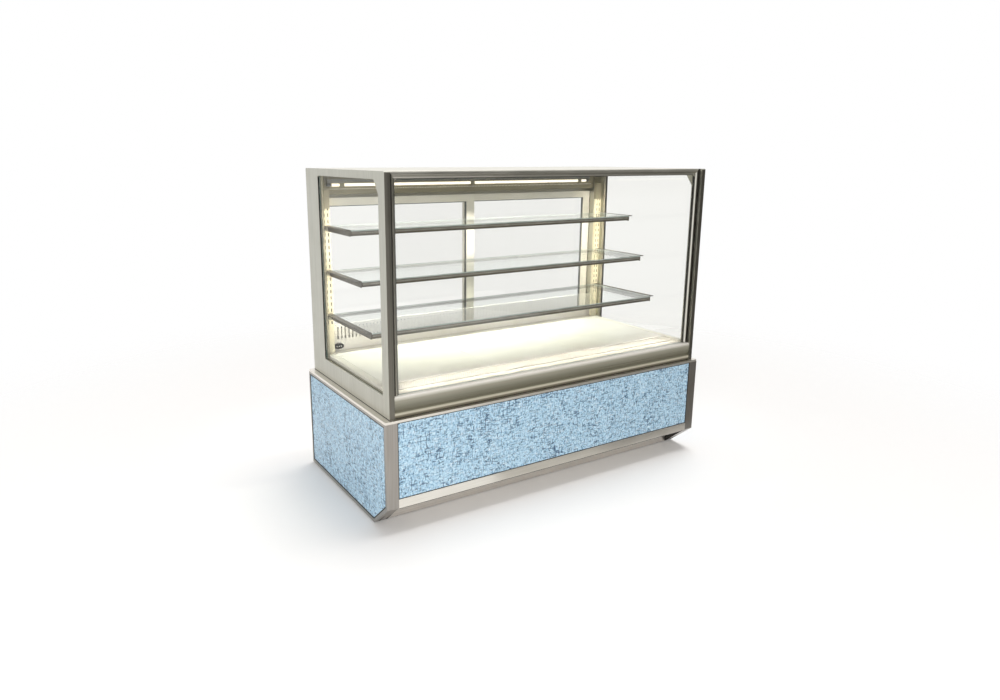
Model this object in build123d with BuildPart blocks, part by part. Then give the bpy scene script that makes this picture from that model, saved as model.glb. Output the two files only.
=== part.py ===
from build123d import *
import math
import os

# Refrigerated display case, millimetres.
# Origin on the floor under the middle of the case, +Z up, customer side towards -Y.

# Overall sizes
LENGTH = 1500.0
DEPTH = 734.0
HEIGHT = 1228.0
BASE_TOP = 413.0
HALF = LENGTH / 2
FRONT = -DEPTH / 2
BACK = DEPTH / 2
PLINTH_GAP = 3.0

# Sheet and board thicknesses
SHEET = 2.0
POST_SHEET = 4.0
BOARD = 15.0

# Base shell
POST_WIDTH = 45.0
POST_LIP = 12.0
CHAMFER_HEIGHT = 95.0
CHAMFER_DEPTH = 112.0
CHAMFER_LIP = 16.0
POST_LIP_LOW = CHAMFER_HEIGHT + 7.0
POST_TOE_Y = FRONT + CHAMFER_DEPTH + 5.0
POST_HEEL_Z = CHAMFER_HEIGHT + 1.5
TOP_TRIM_HEIGHT = 9.0
TOP_TRIM_LOW = BASE_TOP - TOP_TRIM_HEIGHT
TRIM_RADIUS = 6.0
BOTTOM_TRIM_LOW = 93.0
BOTTOM_TRIM_TOP = 126.0
EDGE_TOP_BAND = 9.0
EDGE_REAR_BAND = 8.0
EDGE_FLOOR_BAND = 12.0
TOE_KICK_Y = FRONT + CHAMFER_DEPTH
PANEL_OUT = HALF - SHEET
PANEL_IN = PANEL_OUT - BOARD
POST_IN = HALF - POST_WIDTH

# Chassis of square tube
TUBE = 30.0
TUBE_WALL = 2.0
CHASSIS_X = PANEL_IN
CHASSIS_FRONT = FRONT + POST_SHEET + BOARD
CHASSIS_BACK = BACK - 17.0
CHASSIS_SETBACK = TOE_KICK_Y + SHEET + 10.0
CHASSIS_LOW = 30.0
CHASSIS_ARM = 100.0
CHASSIS_TOP = TOP_TRIM_LOW
BEARER_X = 400.0
BEARER_LOW = 260.0
FLOOR_TOP = CHASSIS_LOW + TUBE + SHEET

# Levelling feet
FOOT_X = 660.0
FOOT_PAD_RADIUS = 25.0
FOOT_PAD_HEIGHT = 8.0
FOOT_STEM_RADIUS = 6.0

# Upper cabinet
CABINET_X = HALF - 22.0
FRAME_THICK = 20.0
INSIDE_X = CABINET_X - FRAME_THICK
CABINET_FRONT = FRONT + 12.0
CABINET_BACK = BACK - 10.0
STILE_FRONT = 48.0
STILE_REAR = 128.0
RAIL_TOP = 26.0
RAIL_BOTTOM = 74.0
GUSSET_Y = 33.0
GUSSET_Z = 45.0
WINDOW_FRONT = CABINET_FRONT + STILE_FRONT
WINDOW_REAR = CABINET_BACK - STILE_REAR
WINDOW_LOW = BASE_TOP + RAIL_BOTTOM
WINDOW_TOP = HEIGHT - RAIL_TOP
FRAME_RADIUS = 4.0
GROOVE_OUT = CABINET_X - 6.0
GROOVE_DEEP = 8.0
GLASS_BITE = 7.0
END_GLASS = 6.0
GASKET = 2.0
WINDOW_EASE = 0.001

# Insulated tub under the deck
TUB_LOW = 290.0
TUB_FLOOR = 30.0
TUB_X = 690.0
TUB_FRONT = FRONT + 60.0
TUB_BACK = FRONT + 667.0
TUB_SILL_FRONT = FRONT + 42.0
CAVITY_X = 660.0
CAVITY_FRONT = FRONT + 80.0
CAVITY_BACK = FRONT + 642.0
SILL_Z = 490.0
DECK_Z = 498.0
DECK_X = 681.0
CROSSBAR_X = 227.0
CROSSBAR_WIDTH = 20.0
CROSSBAR_HEIGHT = 12.0
TUB_CLEAR = 1.0
RISER_HOLE = 10.0
LEDGE_FRONT = FRONT + 49.0

# Deck and air grilles
GRILLE_FRONT = CAVITY_FRONT + 1.0
GRILLE_BACK = FRONT + 136.0
GRILLE_THICK = 4.0
GRILLE_PITCH = 15.0
GRILLE_BAR = 5.0
GRILLE_BORDER = 8.0
GRILLE_SLOTS = 88
PAN_COUNT = 3
PAN_GAP = 1.0
PAN_FRONT = GRILLE_BACK + 1.0
PAN_BACK = FRONT + 652.0
AIR_PANEL_Y = FRONT + 653.0
AIR_PANEL_TOP = 604.0
AIR_SLOT_LOW = 545.0
AIR_SLOT_TOP = 597.0
AIR_SLOT_PITCH = 16.0
AIR_SLOT_WIDTH = 6.0
AIR_SLOTS = 82

# Rear wall, header and roof
REAR_WALL_FRONT = TUB_BACK
REAR_WALL_BACK = BACK - 15.0
REAR_WALL_TOP = 540.0
HEADER_FRONT = FRONT + 671.0
HEADER_LOW = 1125.0
ROOF_THICK = 6.0
ROOF_LOW = HEIGHT - ROOF_THICK
HEADER_WALL = 3.0
ROOF_FOLD = 12.0
ROOF_GAP = 1.0

# Front glass on its top hinge
GLASS_FRAME_X = INSIDE_X - 2.6
GLASS_STILE = 20.0
GLASS_FRONT = FRONT + 25.5
GLASS_DEEP = 17.5
GLASS_RAIL_LOW = 1204.0
HINGE_RADIUS = 6.0
HINGE_Z = HEIGHT - HINGE_RADIUS
HINGE_Y = GLASS_FRONT + GLASS_DEEP
HINGE_PIN = 4.0
PIN_CLEAR = 0.05
GLASS_THICK = 6.0
GLASS_Y = GLASS_FRONT + 5.5
GLASS_LOW = SILL_Z + 1.5
GLASS_GROOVE = 8.0
GLASS_GAP = 0.5
GLASS_EDGE = 0.8
GLASS_STEP = 5.0
GLASS_STILE_OUTER = 11.0
GLASS_RAIL_NOSE = GLASS_RAIL_LOW + 9.0
GLASS_RAIL_UNDER = 4.0
PIN_BITE = 20.0
PIN_REACH = 9.0
HINGE_BORE = 10.0

# Lower front rail
RAIL_DEEP = 30.0
RAIL_STEP = 9.0
RAIL_FACE_LOW = BASE_TOP + RAIL_STEP
RAIL_LIP = 6.0
RAIL_FLAT = 14.0
RAIL_LEAN = 6.0
RAIL_LAND_RISE = 5.0
RAIL_BELLY = 1.6
RAIL_BELLY_RISE = 36.0
RAIL_NOSE = 9.0
RAIL_WALL = 4.0
RAIL_BACK_WALL = 3.0

# Shelves, slotted uprights
SHELF_TOPS = (1012.0, 837.0, 662.0)
SHELF_FRONTS = (FRONT + 395.0, FRONT + 310.0, FRONT + 235.0)
SHELF_GLASS = 6.0
SHELF_ARM = 24.0
SHELF_ARM_X = 684.0
SHELF_OUT_X = INSIDE_X - 2.0
SHELF_SHEET = 3.0
SHELF_LEDGE = 8.0
SHELF_RAIL_DEEP = 15.0
SHELF_RAIL_LOW = 22.0
SHELF_BACK = FRONT + 613.0
SHELF_SETBACK = 1.0
SHELF_REAR_RAIL_LOW = 14.0
SHELF_GLASS_GAP = 0.5
LED_X = 650.0
LED_WIDTH = 7.0
LED_INSET = 4.0
UPRIGHT_FRONT = FRONT + 616.0
UPRIGHT_DEEP = 16.0
UPRIGHT_WIDTH = 30.0
UPRIGHT_TOP = 1150.0
SLOT_PITCH = 25.0
SLOT_WIDTH = 5.0
SLOT_HEIGHT = 14.0
SLOT_ROWS = 19
SLOT_FIRST = 626.0
SLOT_SPREAD = 15.0
HOOK_DEEP = 5.0
HOOK_HEIGHT = 10.0

# Lamp
LAMP_Y = FRONT + 664.0
LAMP_Z = 1163.0
LAMP_RADIUS = 6.0
LAMP_HALF = 666.0
LAMP_CLIP_X = 606.0
LAMP_CLIP_WIDTH = 20.0
LAMP_CLIP_DROP = 10.0
LAMP_CLEAR = 0.3
LAMP_CHANNEL_Y = (LAMP_Y - 8.0, HEADER_FRONT)
LAMP_CHANNEL_Z = (LAMP_Z + 8.0, LAMP_Z + 24.0)

# Thermometer
DIAL_X = -648.0
DIAL_Z = 516.0
DIAL_LONG = 42.0
DIAL_TALL = 24.0
DIAL_DEEP = 9.0
DIAL_BEVEL = 2.0

# Rear sliding doors
DOOR_LOW = REAR_WALL_TOP + 3.4
DOOR_TOP = HEADER_LOW - 3.4
DOOR_THICK = 16.0
DOOR_STILE = 40.0
DOOR_OVERLAP = 20.0
DOOR_SIDE_GAP = 2.0
DOOR_GLASS = 5.0
TRACK_FRONT = FRONT + 671.0
TRACK_FIN = 2.0
TRACK_HEIGHT = 12.0
TRACK_BASE = 3.0
TRACK_LANE = 20.0
DOOR_PLAY = 2.0
DOOR_PULL_WIDTH = 22.0
DOOR_PULL_HEIGHT = 110.0
DOOR_PULL_DEEP = 5.0
DOOR_PULL_SHIFT = 2.0

# Controls on the rear wall
KNOB_X = 560.0
CONTROL_Z = 478.0
KNOB_RADIUS = 17.0
KNOB_LENGTH = 12.0
KNOB_SHAFT = 3.0
KNOB_GAP = 0.5
KNOB_GRIP = 4.0
KNOB_GRIP_INSET = 2.0
KNOB_SHAFT_IN = 16.0
KNOB_SHAFT_LENGTH = 17.0
KNOB_HOLE_DEEP = 20.0
SWITCH_X = 620.0
SWITCH_WIDTH = 15.0
SWITCH_HEIGHT = 26.0
SWITCH_GAP = 1.0
SWITCH_POCKET = 18.0
SWITCH_SINK = 3.0
SWITCH_ROOT = -6.0
SWITCH_CREST = 4.0
SWITCH_WAIST = 2.0
SWITCH_TAPER = 3.0
SWITCH_EASE = 1.0
SWITCH_TILT = 8.0

# Machinery in the base
COMPRESSOR_X = -420.0
COMPRESSOR_Y = 120.0
COMPRESSOR_RADIUS = 75.0
COMPRESSOR_LOW = FLOOR_TOP + 12.0
COMPRESSOR_TOP = 250.0
COMPRESSOR_CROWN = 45.0
COMPRESSOR_PLATE = 4.0
COMPRESSOR_PLATE_X = 90.0
COMPRESSOR_PLATE_Y = 55.0
GROMMET_X = 80.0
GROMMET_Y = 42.0
GROMMET_RADIUS = 9.0
CONDENSER_X = (-200.0, 160.0)
CONDENSER_Y = (255.0, 315.0)
CONDENSER_Z = (FLOOR_TOP + 14.0, 256.0)
FIN_PITCH = 15.0
FIN_HALF = 1.5
FIN_INSET = 2.0
COIL_PLATE = 5.0
COIL_TUBE = 5.0
FAN_X = -20.0
FAN_Z = 166.0
FAN_RADIUS = 69.6
FAN_HUB = 15.0
FAN_Y = 237.0
FAN_SHAFT = 4.0
FAN_DEPTH = 16.0
FAN_BLADES = 5
BLADE_REACH = 0.95
BLADE_TILT = 28.0
BLADE_SINK = 3.0
BLADE_ROOT = 0.5
BLADE_TIP = 0.9
BLADE_HALF = 1.0
SHROUD_HOLE = 72.0
SHROUD_WALL = 4.0
SHROUD_PLATE_Y = (250.0, 255.0)
SHROUD_DUCT_Y = (227.0, 255.0)
MOTOR_RADIUS = 34.0
MOTOR_Y = (150.0, 214.0)
MOTOR_ROUND = 5.0
MOTOR_SHAFT_Y = (212.0, 241.0)
MOTOR_BRACKET_X = 20.0
MOTOR_BRACKET_Y = (165.0, 195.0)
MOTOR_BRACKET_TOP = FAN_Z - MOTOR_RADIUS + 4.0
CONDENSATE_X = (215.0, 440.0)
CONDENSATE_Y = (-150.0, 150.0)
CONDENSATE_HEIGHT = 50.0
BOX_X = (470.0, 650.0)
BOX_Y = (110.0, 290.0)
BOX_HEIGHT = 150.0
LID_SKIRT = 20.0
LID_GAP = 10.0
GLAND_X = 560.0
GLAND_Z = 110.0
GLAND_BORE = 6.5
GLAND_SHANK = 10.0
GLAND_NUT = 14.0
GLAND_LENGTH = 30.0

# Evaporator in the tub
EVAPORATOR_X = (-540.0, 540.0)
EVAPORATOR_Y = (-60.0, 60.0)
EVAPORATOR_Z = (TUB_LOW + TUB_FLOOR + 12.0, 455.0)
EVAPORATOR_FAN_X = 260.0
EVAPORATOR_FAN_Z = 398.0
EVAPORATOR_FAN_RADIUS = 49.0
EVAPORATOR_FAN_HUB = 12.0
FAN_PLATE_Y = 100.0
FAN_PLATE_HOLE = 52.0
EVAPORATOR_MOTOR_Y = (130.0, 170.0)
EVAPORATOR_MOTOR_RADIUS = 24.0
EVAPORATOR_SHAFT_Y = (96.0, 136.0)
EVAPORATOR_FOOT_X = 12.0
EVAPORATOR_FOOT_Y = (140.0, 160.0)
EVAPORATOR_FOOT_TOP = EVAPORATOR_FAN_Z - 20.0

# Copper tube
SUCTION_RADIUS = 6.0
LIQUID_RADIUS = 4.0
SUCTION_RISER = (-580.0, 120.0)
LIQUID_RISER = (-620.0, 150.0)
BEND = 22.0
DRIER_X = (-400.0, -300.0)
DRIER_Y = 285.0
DRIER_Z = 100.0
DRIER_RADIUS = 18.0
STUB_OUT_Z = 180.0
STUB_IN_Z = 160.0
STUB_LENGTH = 15.0
STUB_SINK = 5.0
STUB_OUT_RADIUS = 7.0
STUB_IN_RADIUS = 8.0
DISCHARGE_RUN = 70.0
SUCTION_Z = EVAPORATOR_Z[1] - 30.0
LIQUID_Y = 40.0
LIQUID_Z = EVAPORATOR_Z[0] + 40.0

# Rear service panel and its screws
SERVICE_LOW = 20.0
LOUVRE_WIDTH = 110.0
LOUVRE_HEIGHT = 7.0
LOUVRE_PITCH_X = 130.0
LOUVRE_PITCH_Z = 16.0
LOUVRE_COLUMNS = 4
LOUVRE_ROWS = 12
LOUVRE_X = -20.0
LOUVRE_Z = 170.0
SCREW_HEAD = 5.0
SCREW_SHANK = 2.0
SCREW_HOLE = 2.5
SCREW_LENGTH = 6.0
SCREW_X = (-715.0, -240.0, 240.0, 715.0)
SCREW_Z = (45.0, CHASSIS_TOP - 15.0)

os.makedirs("parts", exist_ok=True)


def save(holder, name):
    """Label a finished piece and write it under the same name."""
    holder.part.label = name
    export_step(holder.part, f"parts/{name}.step")


def span(side, near, far):
    """Low and high X of a stretch on the left (-1) or right (+1) side."""
    return (min(side * near, side * far), max(side * near, side * far))


def bar(x, y, z, mode=Mode.ADD):
    """A straight bar between low and high limits along each axis."""
    with BuildSketch(Plane.XY.offset(z[0])) as foot:
        with Locations(((x[0] + x[1]) / 2, (y[0] + y[1]) / 2)):
            Rectangle(x[1] - x[0], y[1] - y[0])
    extrude(foot.sketch, amount=z[1] - z[0], mode=mode)


def side_profile(points, x, mode=Mode.ADD):
    """An outline of (y, z) points drawn from the side and extruded along X."""
    with BuildSketch(Plane.YZ.offset(x[0])) as outline:
        with BuildLine():
            Polyline(*points, close=True)
        make_face()
    extrude(outline.sketch, amount=x[1] - x[0], mode=mode)


def rod(plane, radius, length, mode=Mode.ADD):
    """A round rod that starts on a plane and runs along its normal."""
    with BuildSketch(plane) as disc:
        Circle(radius)
    extrude(disc.sketch, amount=length, mode=mode)


def towards_rear(x, y, z):
    """A plane at a point, with its normal along +Y and its X axis along +X turned round."""
    return Plane(origin=(x, y, z), x_dir=(-1, 0, 0), z_dir=(0, 1, 0))


def copper(points, radius):
    """A copper tube along straight runs with bent corners."""
    with BuildLine() as route:
        FilletPolyline(*points, radius=BEND)
    with BuildSketch(Plane(origin=route.line @ 0, z_dir=route.line % 0)) as section:
        Circle(radius)
    sweep(section.sketch, path=route.line)


# Levelling feet under the chassis
FOOT_Y = (CHASSIS_SETBACK + TUBE / 2, CHASSIS_BACK - TUBE / 2)
with BuildPart() as feet:
    for foot_x in (-FOOT_X, FOOT_X):
        for foot_y in FOOT_Y:
            rod(Plane.XY.move(Location((foot_x, foot_y, 0))), FOOT_PAD_RADIUS, FOOT_PAD_HEIGHT)
            stem = Plane.XY.move(Location((foot_x, foot_y, FOOT_PAD_HEIGHT)))
            rod(stem, FOOT_STEM_RADIUS, CHASSIS_LOW - FOOT_PAD_HEIGHT)
save(feet, "levelling_feet")


def chassis_tubes(inset, mode):
    """Every chassis tube, drawn smaller by the inset to cut the hollow inside."""
    low = (CHASSIS_LOW + inset, CHASSIS_LOW + TUBE - inset)
    arm = (CHASSIS_ARM + inset, CHASSIS_ARM + TUBE - inset)
    top = (CHASSIS_TOP - TUBE + inset, CHASSIS_TOP - inset)
    front = (CHASSIS_FRONT + inset, CHASSIS_FRONT + TUBE - inset)
    setback = (CHASSIS_SETBACK + inset, CHASSIS_SETBACK + TUBE - inset)
    back = (CHASSIS_BACK - TUBE + inset, CHASSIS_BACK - inset)
    bearer = (BEARER_LOW + inset, BEARER_LOW + TUBE - inset)
    full = (-CHASSIS_X, CHASSIS_X)
    for y, z in ((setback, low), (back, low), (front, arm), (front, top), (back, top), (back, bearer)):
        bar(full, y, z, mode)
    bar(full, front, bearer, mode)
    for side in (-1, 1):
        wall = span(side, CHASSIS_X - TUBE + inset, CHASSIS_X - inset)
        bar(wall, (setback[0], back[1]), low, mode)
        bar(wall, (front[0], setback[1]), arm, mode)
        bar(wall, (front[0], back[1]), top, mode)
        bar(wall, front, (arm[0], top[1]), mode)
        bar(wall, setback, (low[0], arm[1]), mode)
        bar(wall, back, (low[0], top[1]), mode)
        bearer_x = (side * BEARER_X - TUBE / 2 + inset, side * BEARER_X + TUBE / 2 - inset)
        bar(bearer_x, (front[0], back[1]), bearer, mode)


with BuildPart() as chassis:
    chassis_tubes(0, Mode.ADD)
    chassis_tubes(TUBE_WALL, Mode.SUBTRACT)
save(chassis, "chassis_frame")

# Floor pan that carries the machinery, notched round the chassis uprights
with BuildPart() as floor_pan:
    pan_y = (CHASSIS_SETBACK, CHASSIS_BACK)
    bar((-CHASSIS_X, CHASSIS_X), pan_y, (FLOOR_TOP - SHEET, FLOOR_TOP))
    for side in (-1, 1):
        notch = span(side, CHASSIS_X - TUBE, CHASSIS_X)
        for y in ((pan_y[0], pan_y[0] + TUBE), (pan_y[1] - TUBE, pan_y[1])):
            bar(notch, y, (FLOOR_TOP - SHEET, FLOOR_TOP), Mode.SUBTRACT)
save(floor_pan, "base_floor_pan")

# Stainless corner posts, folded back along the chamfered foot
with BuildPart() as posts:
    for side in (-1, 1):
        side_profile(
            (
                (FRONT, TOP_TRIM_LOW),
                (FRONT, CHAMFER_HEIGHT),
                (FRONT + CHAMFER_DEPTH, PLINTH_GAP),
                (POST_TOE_Y, PLINTH_GAP),
                (FRONT + POST_SHEET, POST_HEEL_Z),
                (FRONT + POST_SHEET, TOP_TRIM_LOW),
            ),
            span(side, POST_IN, HALF),
        )
        side_profile(
            (
                (FRONT, TOP_TRIM_LOW),
                (FRONT, CHAMFER_HEIGHT),
                (FRONT + CHAMFER_DEPTH, PLINTH_GAP),
                (FRONT + CHAMFER_DEPTH + CHAMFER_LIP, PLINTH_GAP),
                (FRONT + POST_LIP, POST_LIP_LOW),
                (FRONT + POST_LIP, TOP_TRIM_LOW),
            ),
            span(side, PANEL_OUT, HALF),
        )
    corners = posts.edges().filter_by(Axis.Z).group_by(Axis.Y)[0]
    outer = [edge for edge in corners if abs(edge.center().X) > HALF - 1]
    fillet(outer, radius=TRIM_RADIUS / 2)
save(posts, "corner_posts")


# Laminate end panels and the thin metal edging round their outer faces
def end_panel(side):
    """A laminate end board that follows the chamfered foot."""
    with BuildPart() as board:
        side_profile(
            (
                (FRONT + POST_SHEET, TOP_TRIM_LOW),
                (FRONT + POST_SHEET, POST_HEEL_Z),
                (POST_TOE_Y, PLINTH_GAP),
                (BACK, PLINTH_GAP),
                (BACK, TOP_TRIM_LOW),
            ),
            span(side, PANEL_IN, PANEL_OUT),
        )
    return board


save(end_panel(-1), "end_panel_left")
save(end_panel(1), "end_panel_right")

LIP_FOOT_Y = FRONT + CHAMFER_DEPTH + CHAMFER_LIP
LIP_SLOPE = (LIP_FOOT_Y - FRONT - POST_LIP) / (POST_LIP_LOW - PLINTH_GAP)
with BuildPart() as edging:
    for side in (-1, 1):
        sheet = span(side, PANEL_OUT, HALF)
        bar(sheet, (FRONT + POST_LIP, BACK), (TOP_TRIM_LOW - EDGE_TOP_BAND, TOP_TRIM_LOW))
        bar(sheet, (BACK - EDGE_REAR_BAND, BACK), (PLINTH_GAP, TOP_TRIM_LOW))
        side_profile(
            (
                (LIP_FOOT_Y, PLINTH_GAP),
                (BACK, PLINTH_GAP),
                (BACK, PLINTH_GAP + EDGE_FLOOR_BAND),
                (LIP_FOOT_Y - EDGE_FLOOR_BAND * LIP_SLOPE, PLINTH_GAP + EDGE_FLOOR_BAND),
            ),
            sheet,
        )
save(edging, "end_panel_edging")

# Laminate front panel between the posts
with BuildPart() as front_panel:
    panel_y = (FRONT + SHEET, FRONT + SHEET + BOARD)
    bar((-POST_IN, POST_IN), panel_y, (BOTTOM_TRIM_TOP, TOP_TRIM_LOW))
save(front_panel, "front_laminate_panel")

# Flat frame that caps the base and shows as a ledge round the cabinet
with BuildPart() as top_trim:
    with BuildSketch(Plane.XY.offset(TOP_TRIM_LOW)):
        Rectangle(LENGTH, DEPTH)
        fillet(vertices(), radius=TRIM_RADIUS)
        with Locations((0, (TUB_FRONT + TUB_BACK) / 2)):
            Rectangle(
                2 * (TUB_X + TUB_CLEAR),
                TUB_BACK - TUB_FRONT + 2 * TUB_CLEAR,
                mode=Mode.SUBTRACT,
            )
    extrude(amount=TOP_TRIM_HEIGHT)
save(top_trim, "base_top_trim")

# Trim strip under the laminate with its soffit back to the toe kick
with BuildPart() as bottom_trim:
    strip = (-POST_IN, POST_IN)
    bar(strip, (FRONT, FRONT + SHEET), (BOTTOM_TRIM_LOW, BOTTOM_TRIM_TOP))
    bar(strip, (FRONT, TOE_KICK_Y), (BOTTOM_TRIM_LOW, BOTTOM_TRIM_LOW + SHEET))
    bar(strip, (FRONT, FRONT + SHEET + BOARD), (BOTTOM_TRIM_TOP - SHEET, BOTTOM_TRIM_TOP))
save(bottom_trim, "base_bottom_trim")

# Recessed toe kick
with BuildPart() as toe_kick:
    kick_top = BOTTOM_TRIM_LOW + SHEET
    bar((-POST_IN, POST_IN), (TOE_KICK_Y, TOE_KICK_Y + SHEET), (PLINTH_GAP, kick_top))
save(toe_kick, "toe_kick")

# Rear service panel with louvre slots, a cord gland hole and screw holes
with BuildPart() as service_panel:
    bar((-CHASSIS_X, CHASSIS_X), (CHASSIS_BACK, CHASSIS_BACK + SHEET), (SERVICE_LOW, TOP_TRIM_LOW))
    with BuildSketch(Plane.XZ.offset(-CHASSIS_BACK - SHEET)) as slots:
        with Locations((LOUVRE_X, LOUVRE_Z)):
            with GridLocations(LOUVRE_PITCH_X, LOUVRE_PITCH_Z, LOUVRE_COLUMNS, LOUVRE_ROWS):
                SlotOverall(LOUVRE_WIDTH, LOUVRE_HEIGHT)
        with Locations((GLAND_X, GLAND_Z)):
            Circle(GLAND_SHANK)
        with Locations([(x, z) for x in SCREW_X for z in SCREW_Z]):
            Circle(SCREW_HOLE)
    extrude(slots.sketch, amount=SHEET, mode=Mode.SUBTRACT)
save(service_panel, "rear_service_panel")

SCREW_FACE = CHASSIS_BACK + SHEET
with BuildPart() as screws:
    for x in SCREW_X:
        for z in SCREW_Z:
            rod(towards_rear(x, SCREW_FACE, z), SCREW_HEAD, SHEET)
            rod(towards_rear(x, SCREW_FACE - SCREW_LENGTH, z), SCREW_SHANK, SCREW_LENGTH)
save(screws, "service_panel_screws")

# Hermetic compressor on rubber grommets
with BuildPart() as compressor:
    shell_low = COMPRESSOR_LOW + COMPRESSOR_PLATE
    shell = Plane(origin=(COMPRESSOR_X, COMPRESSOR_Y, shell_low))
    rod(shell, COMPRESSOR_RADIUS, COMPRESSOR_TOP - shell_low)
    fillet(compressor.edges().group_by(Axis.Z)[-1], radius=COMPRESSOR_CROWN)
    fillet(compressor.edges().group_by(Axis.Z)[0], radius=COMPRESSOR_CROWN / 3)
    bar(
        (COMPRESSOR_X - COMPRESSOR_PLATE_X, COMPRESSOR_X + COMPRESSOR_PLATE_X),
        (COMPRESSOR_Y - COMPRESSOR_PLATE_Y, COMPRESSOR_Y + COMPRESSOR_PLATE_Y),
        (COMPRESSOR_LOW, shell_low),
    )
    for foot_x in (-1, 1):
        for foot_y in (-1, 1):
            place = (COMPRESSOR_X + foot_x * GROMMET_X, COMPRESSOR_Y + foot_y * GROMMET_Y, FLOOR_TOP)
            rod(Plane(origin=place), GROMMET_RADIUS, COMPRESSOR_LOW - FLOOR_TOP)
    stub_reach = COMPRESSOR_RADIUS - STUB_SINK
    out_stub = (COMPRESSOR_X + stub_reach, COMPRESSOR_Y, STUB_OUT_Z)
    rod(Plane(origin=out_stub, z_dir=(1, 0, 0)), STUB_OUT_RADIUS, STUB_LENGTH)
    in_stub = (COMPRESSOR_X - stub_reach, COMPRESSOR_Y, STUB_IN_Z)
    rod(Plane(origin=in_stub, z_dir=(-1, 0, 0)), STUB_IN_RADIUS, STUB_LENGTH)
save(compressor, "compressor")


# Finned coils, drawn as spaced blocks of fins between two end plates on round tubes
def finned_coil(x, y, z, tube_rows, tube_columns):
    """Fin blocks on a grid of tubes that runs along X, with end plates."""
    with BuildPart() as coil:
        bar((x[0], x[0] + COIL_PLATE), y, z)
        bar((x[1] - COIL_PLATE, x[1]), y, z)
        blocks = round((x[1] - x[0] - 2 * COIL_PLATE) / FIN_PITCH)
        pitch = (x[1] - x[0]) / blocks
        with BuildSketch(Plane.YZ.offset(x[0])) as grid:
            with Locations(((y[0] + y[1]) / 2, (z[0] + z[1]) / 2)):
                with GridLocations(
                    (y[1] - y[0]) / tube_columns, (z[1] - z[0]) / tube_rows, tube_columns, tube_rows
                ):
                    Circle(COIL_TUBE)
        extrude(grid.sketch, amount=x[1] - x[0])
        for index in range(1, blocks):
            fin_x = x[0] + index * pitch
            fin_y = (y[0] + FIN_INSET, y[1] - FIN_INSET)
            fin_z = (z[0] + FIN_INSET, z[1] - FIN_INSET)
            bar((fin_x - FIN_HALF, fin_x + FIN_HALF), fin_y, fin_z)
    return coil


save(finned_coil(CONDENSER_X, CONDENSER_Y, CONDENSER_Z, 4, 2), "condenser_coil")
save(finned_coil(EVAPORATOR_X, EVAPORATOR_Y, EVAPORATOR_Z, 3, 3), "evaporator_coil")

# Fan shroud, a plate with a short round duct, standing on the floor pan
with BuildPart() as shroud:
    bar(CONDENSER_X, SHROUD_PLATE_Y, (FLOOR_TOP, CONDENSER_Z[1]))
    duct = towards_rear(FAN_X, SHROUD_DUCT_Y[0], FAN_Z)
    duct_length = SHROUD_DUCT_Y[1] - SHROUD_DUCT_Y[0]
    rod(duct, SHROUD_HOLE + SHROUD_WALL, duct_length)
    rod(duct, SHROUD_HOLE, duct_length, Mode.SUBTRACT)
save(shroud, "condenser_fan_shroud")

# Fan motor on a bracket that stands on the floor pan
with BuildPart() as fan_motor:
    rod(towards_rear(FAN_X, MOTOR_Y[0], FAN_Z), MOTOR_RADIUS, MOTOR_Y[1] - MOTOR_Y[0])
    fillet(fan_motor.edges().filter_by(GeomType.CIRCLE), radius=MOTOR_ROUND)
    shaft = towards_rear(FAN_X, MOTOR_SHAFT_Y[0], FAN_Z)
    rod(shaft, FAN_SHAFT, MOTOR_SHAFT_Y[1] - MOTOR_SHAFT_Y[0])
    bracket_x = (FAN_X - MOTOR_BRACKET_X, FAN_X + MOTOR_BRACKET_X)
    bar(bracket_x, MOTOR_BRACKET_Y, (FLOOR_TOP, MOTOR_BRACKET_TOP))
save(fan_motor, "condenser_fan_motor")


def axial_fan(centre, radius, hub):
    """A fan that turns about Y: a hub bored for the motor shaft and tilted flat blades."""
    x, y, z = centre
    reach = radius * BLADE_REACH
    half_width = math.sqrt(radius**2 - reach**2)
    with BuildPart() as fan:
        rod(towards_rear(x, y - FAN_DEPTH / 2, z), hub, FAN_DEPTH)
        for index in range(FAN_BLADES):
            turn = 2 * math.pi * index / FAN_BLADES
            along = Vector(math.cos(turn), 0, math.sin(turn))
            across = Vector(-math.sin(turn), 0, math.cos(turn))
            tilt = math.radians(BLADE_TILT)
            normal = Vector(0, 1, 0) * math.cos(tilt) + across * math.sin(tilt)
            blade_plane = Plane(origin=(x, y, z), x_dir=along, z_dir=normal)
            with BuildSketch(blade_plane) as blade:
                with BuildLine():
                    Polyline(
                        (hub - BLADE_SINK, -BLADE_ROOT * half_width),
                        (reach, -BLADE_TIP * half_width),
                        (reach, BLADE_TIP * half_width),
                        (hub - BLADE_SINK, BLADE_ROOT * half_width),
                        close=True,
                    )
                make_face()
            extrude(blade.sketch, amount=BLADE_HALF, both=True)
        bore = towards_rear(x, y - FAN_DEPTH, z)
        rod(bore, FAN_SHAFT + PIN_CLEAR, 2 * FAN_DEPTH, Mode.SUBTRACT)
    return fan


save(axial_fan((FAN_X, FAN_Y, FAN_Z), FAN_RADIUS, FAN_HUB), "condenser_fan")

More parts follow.
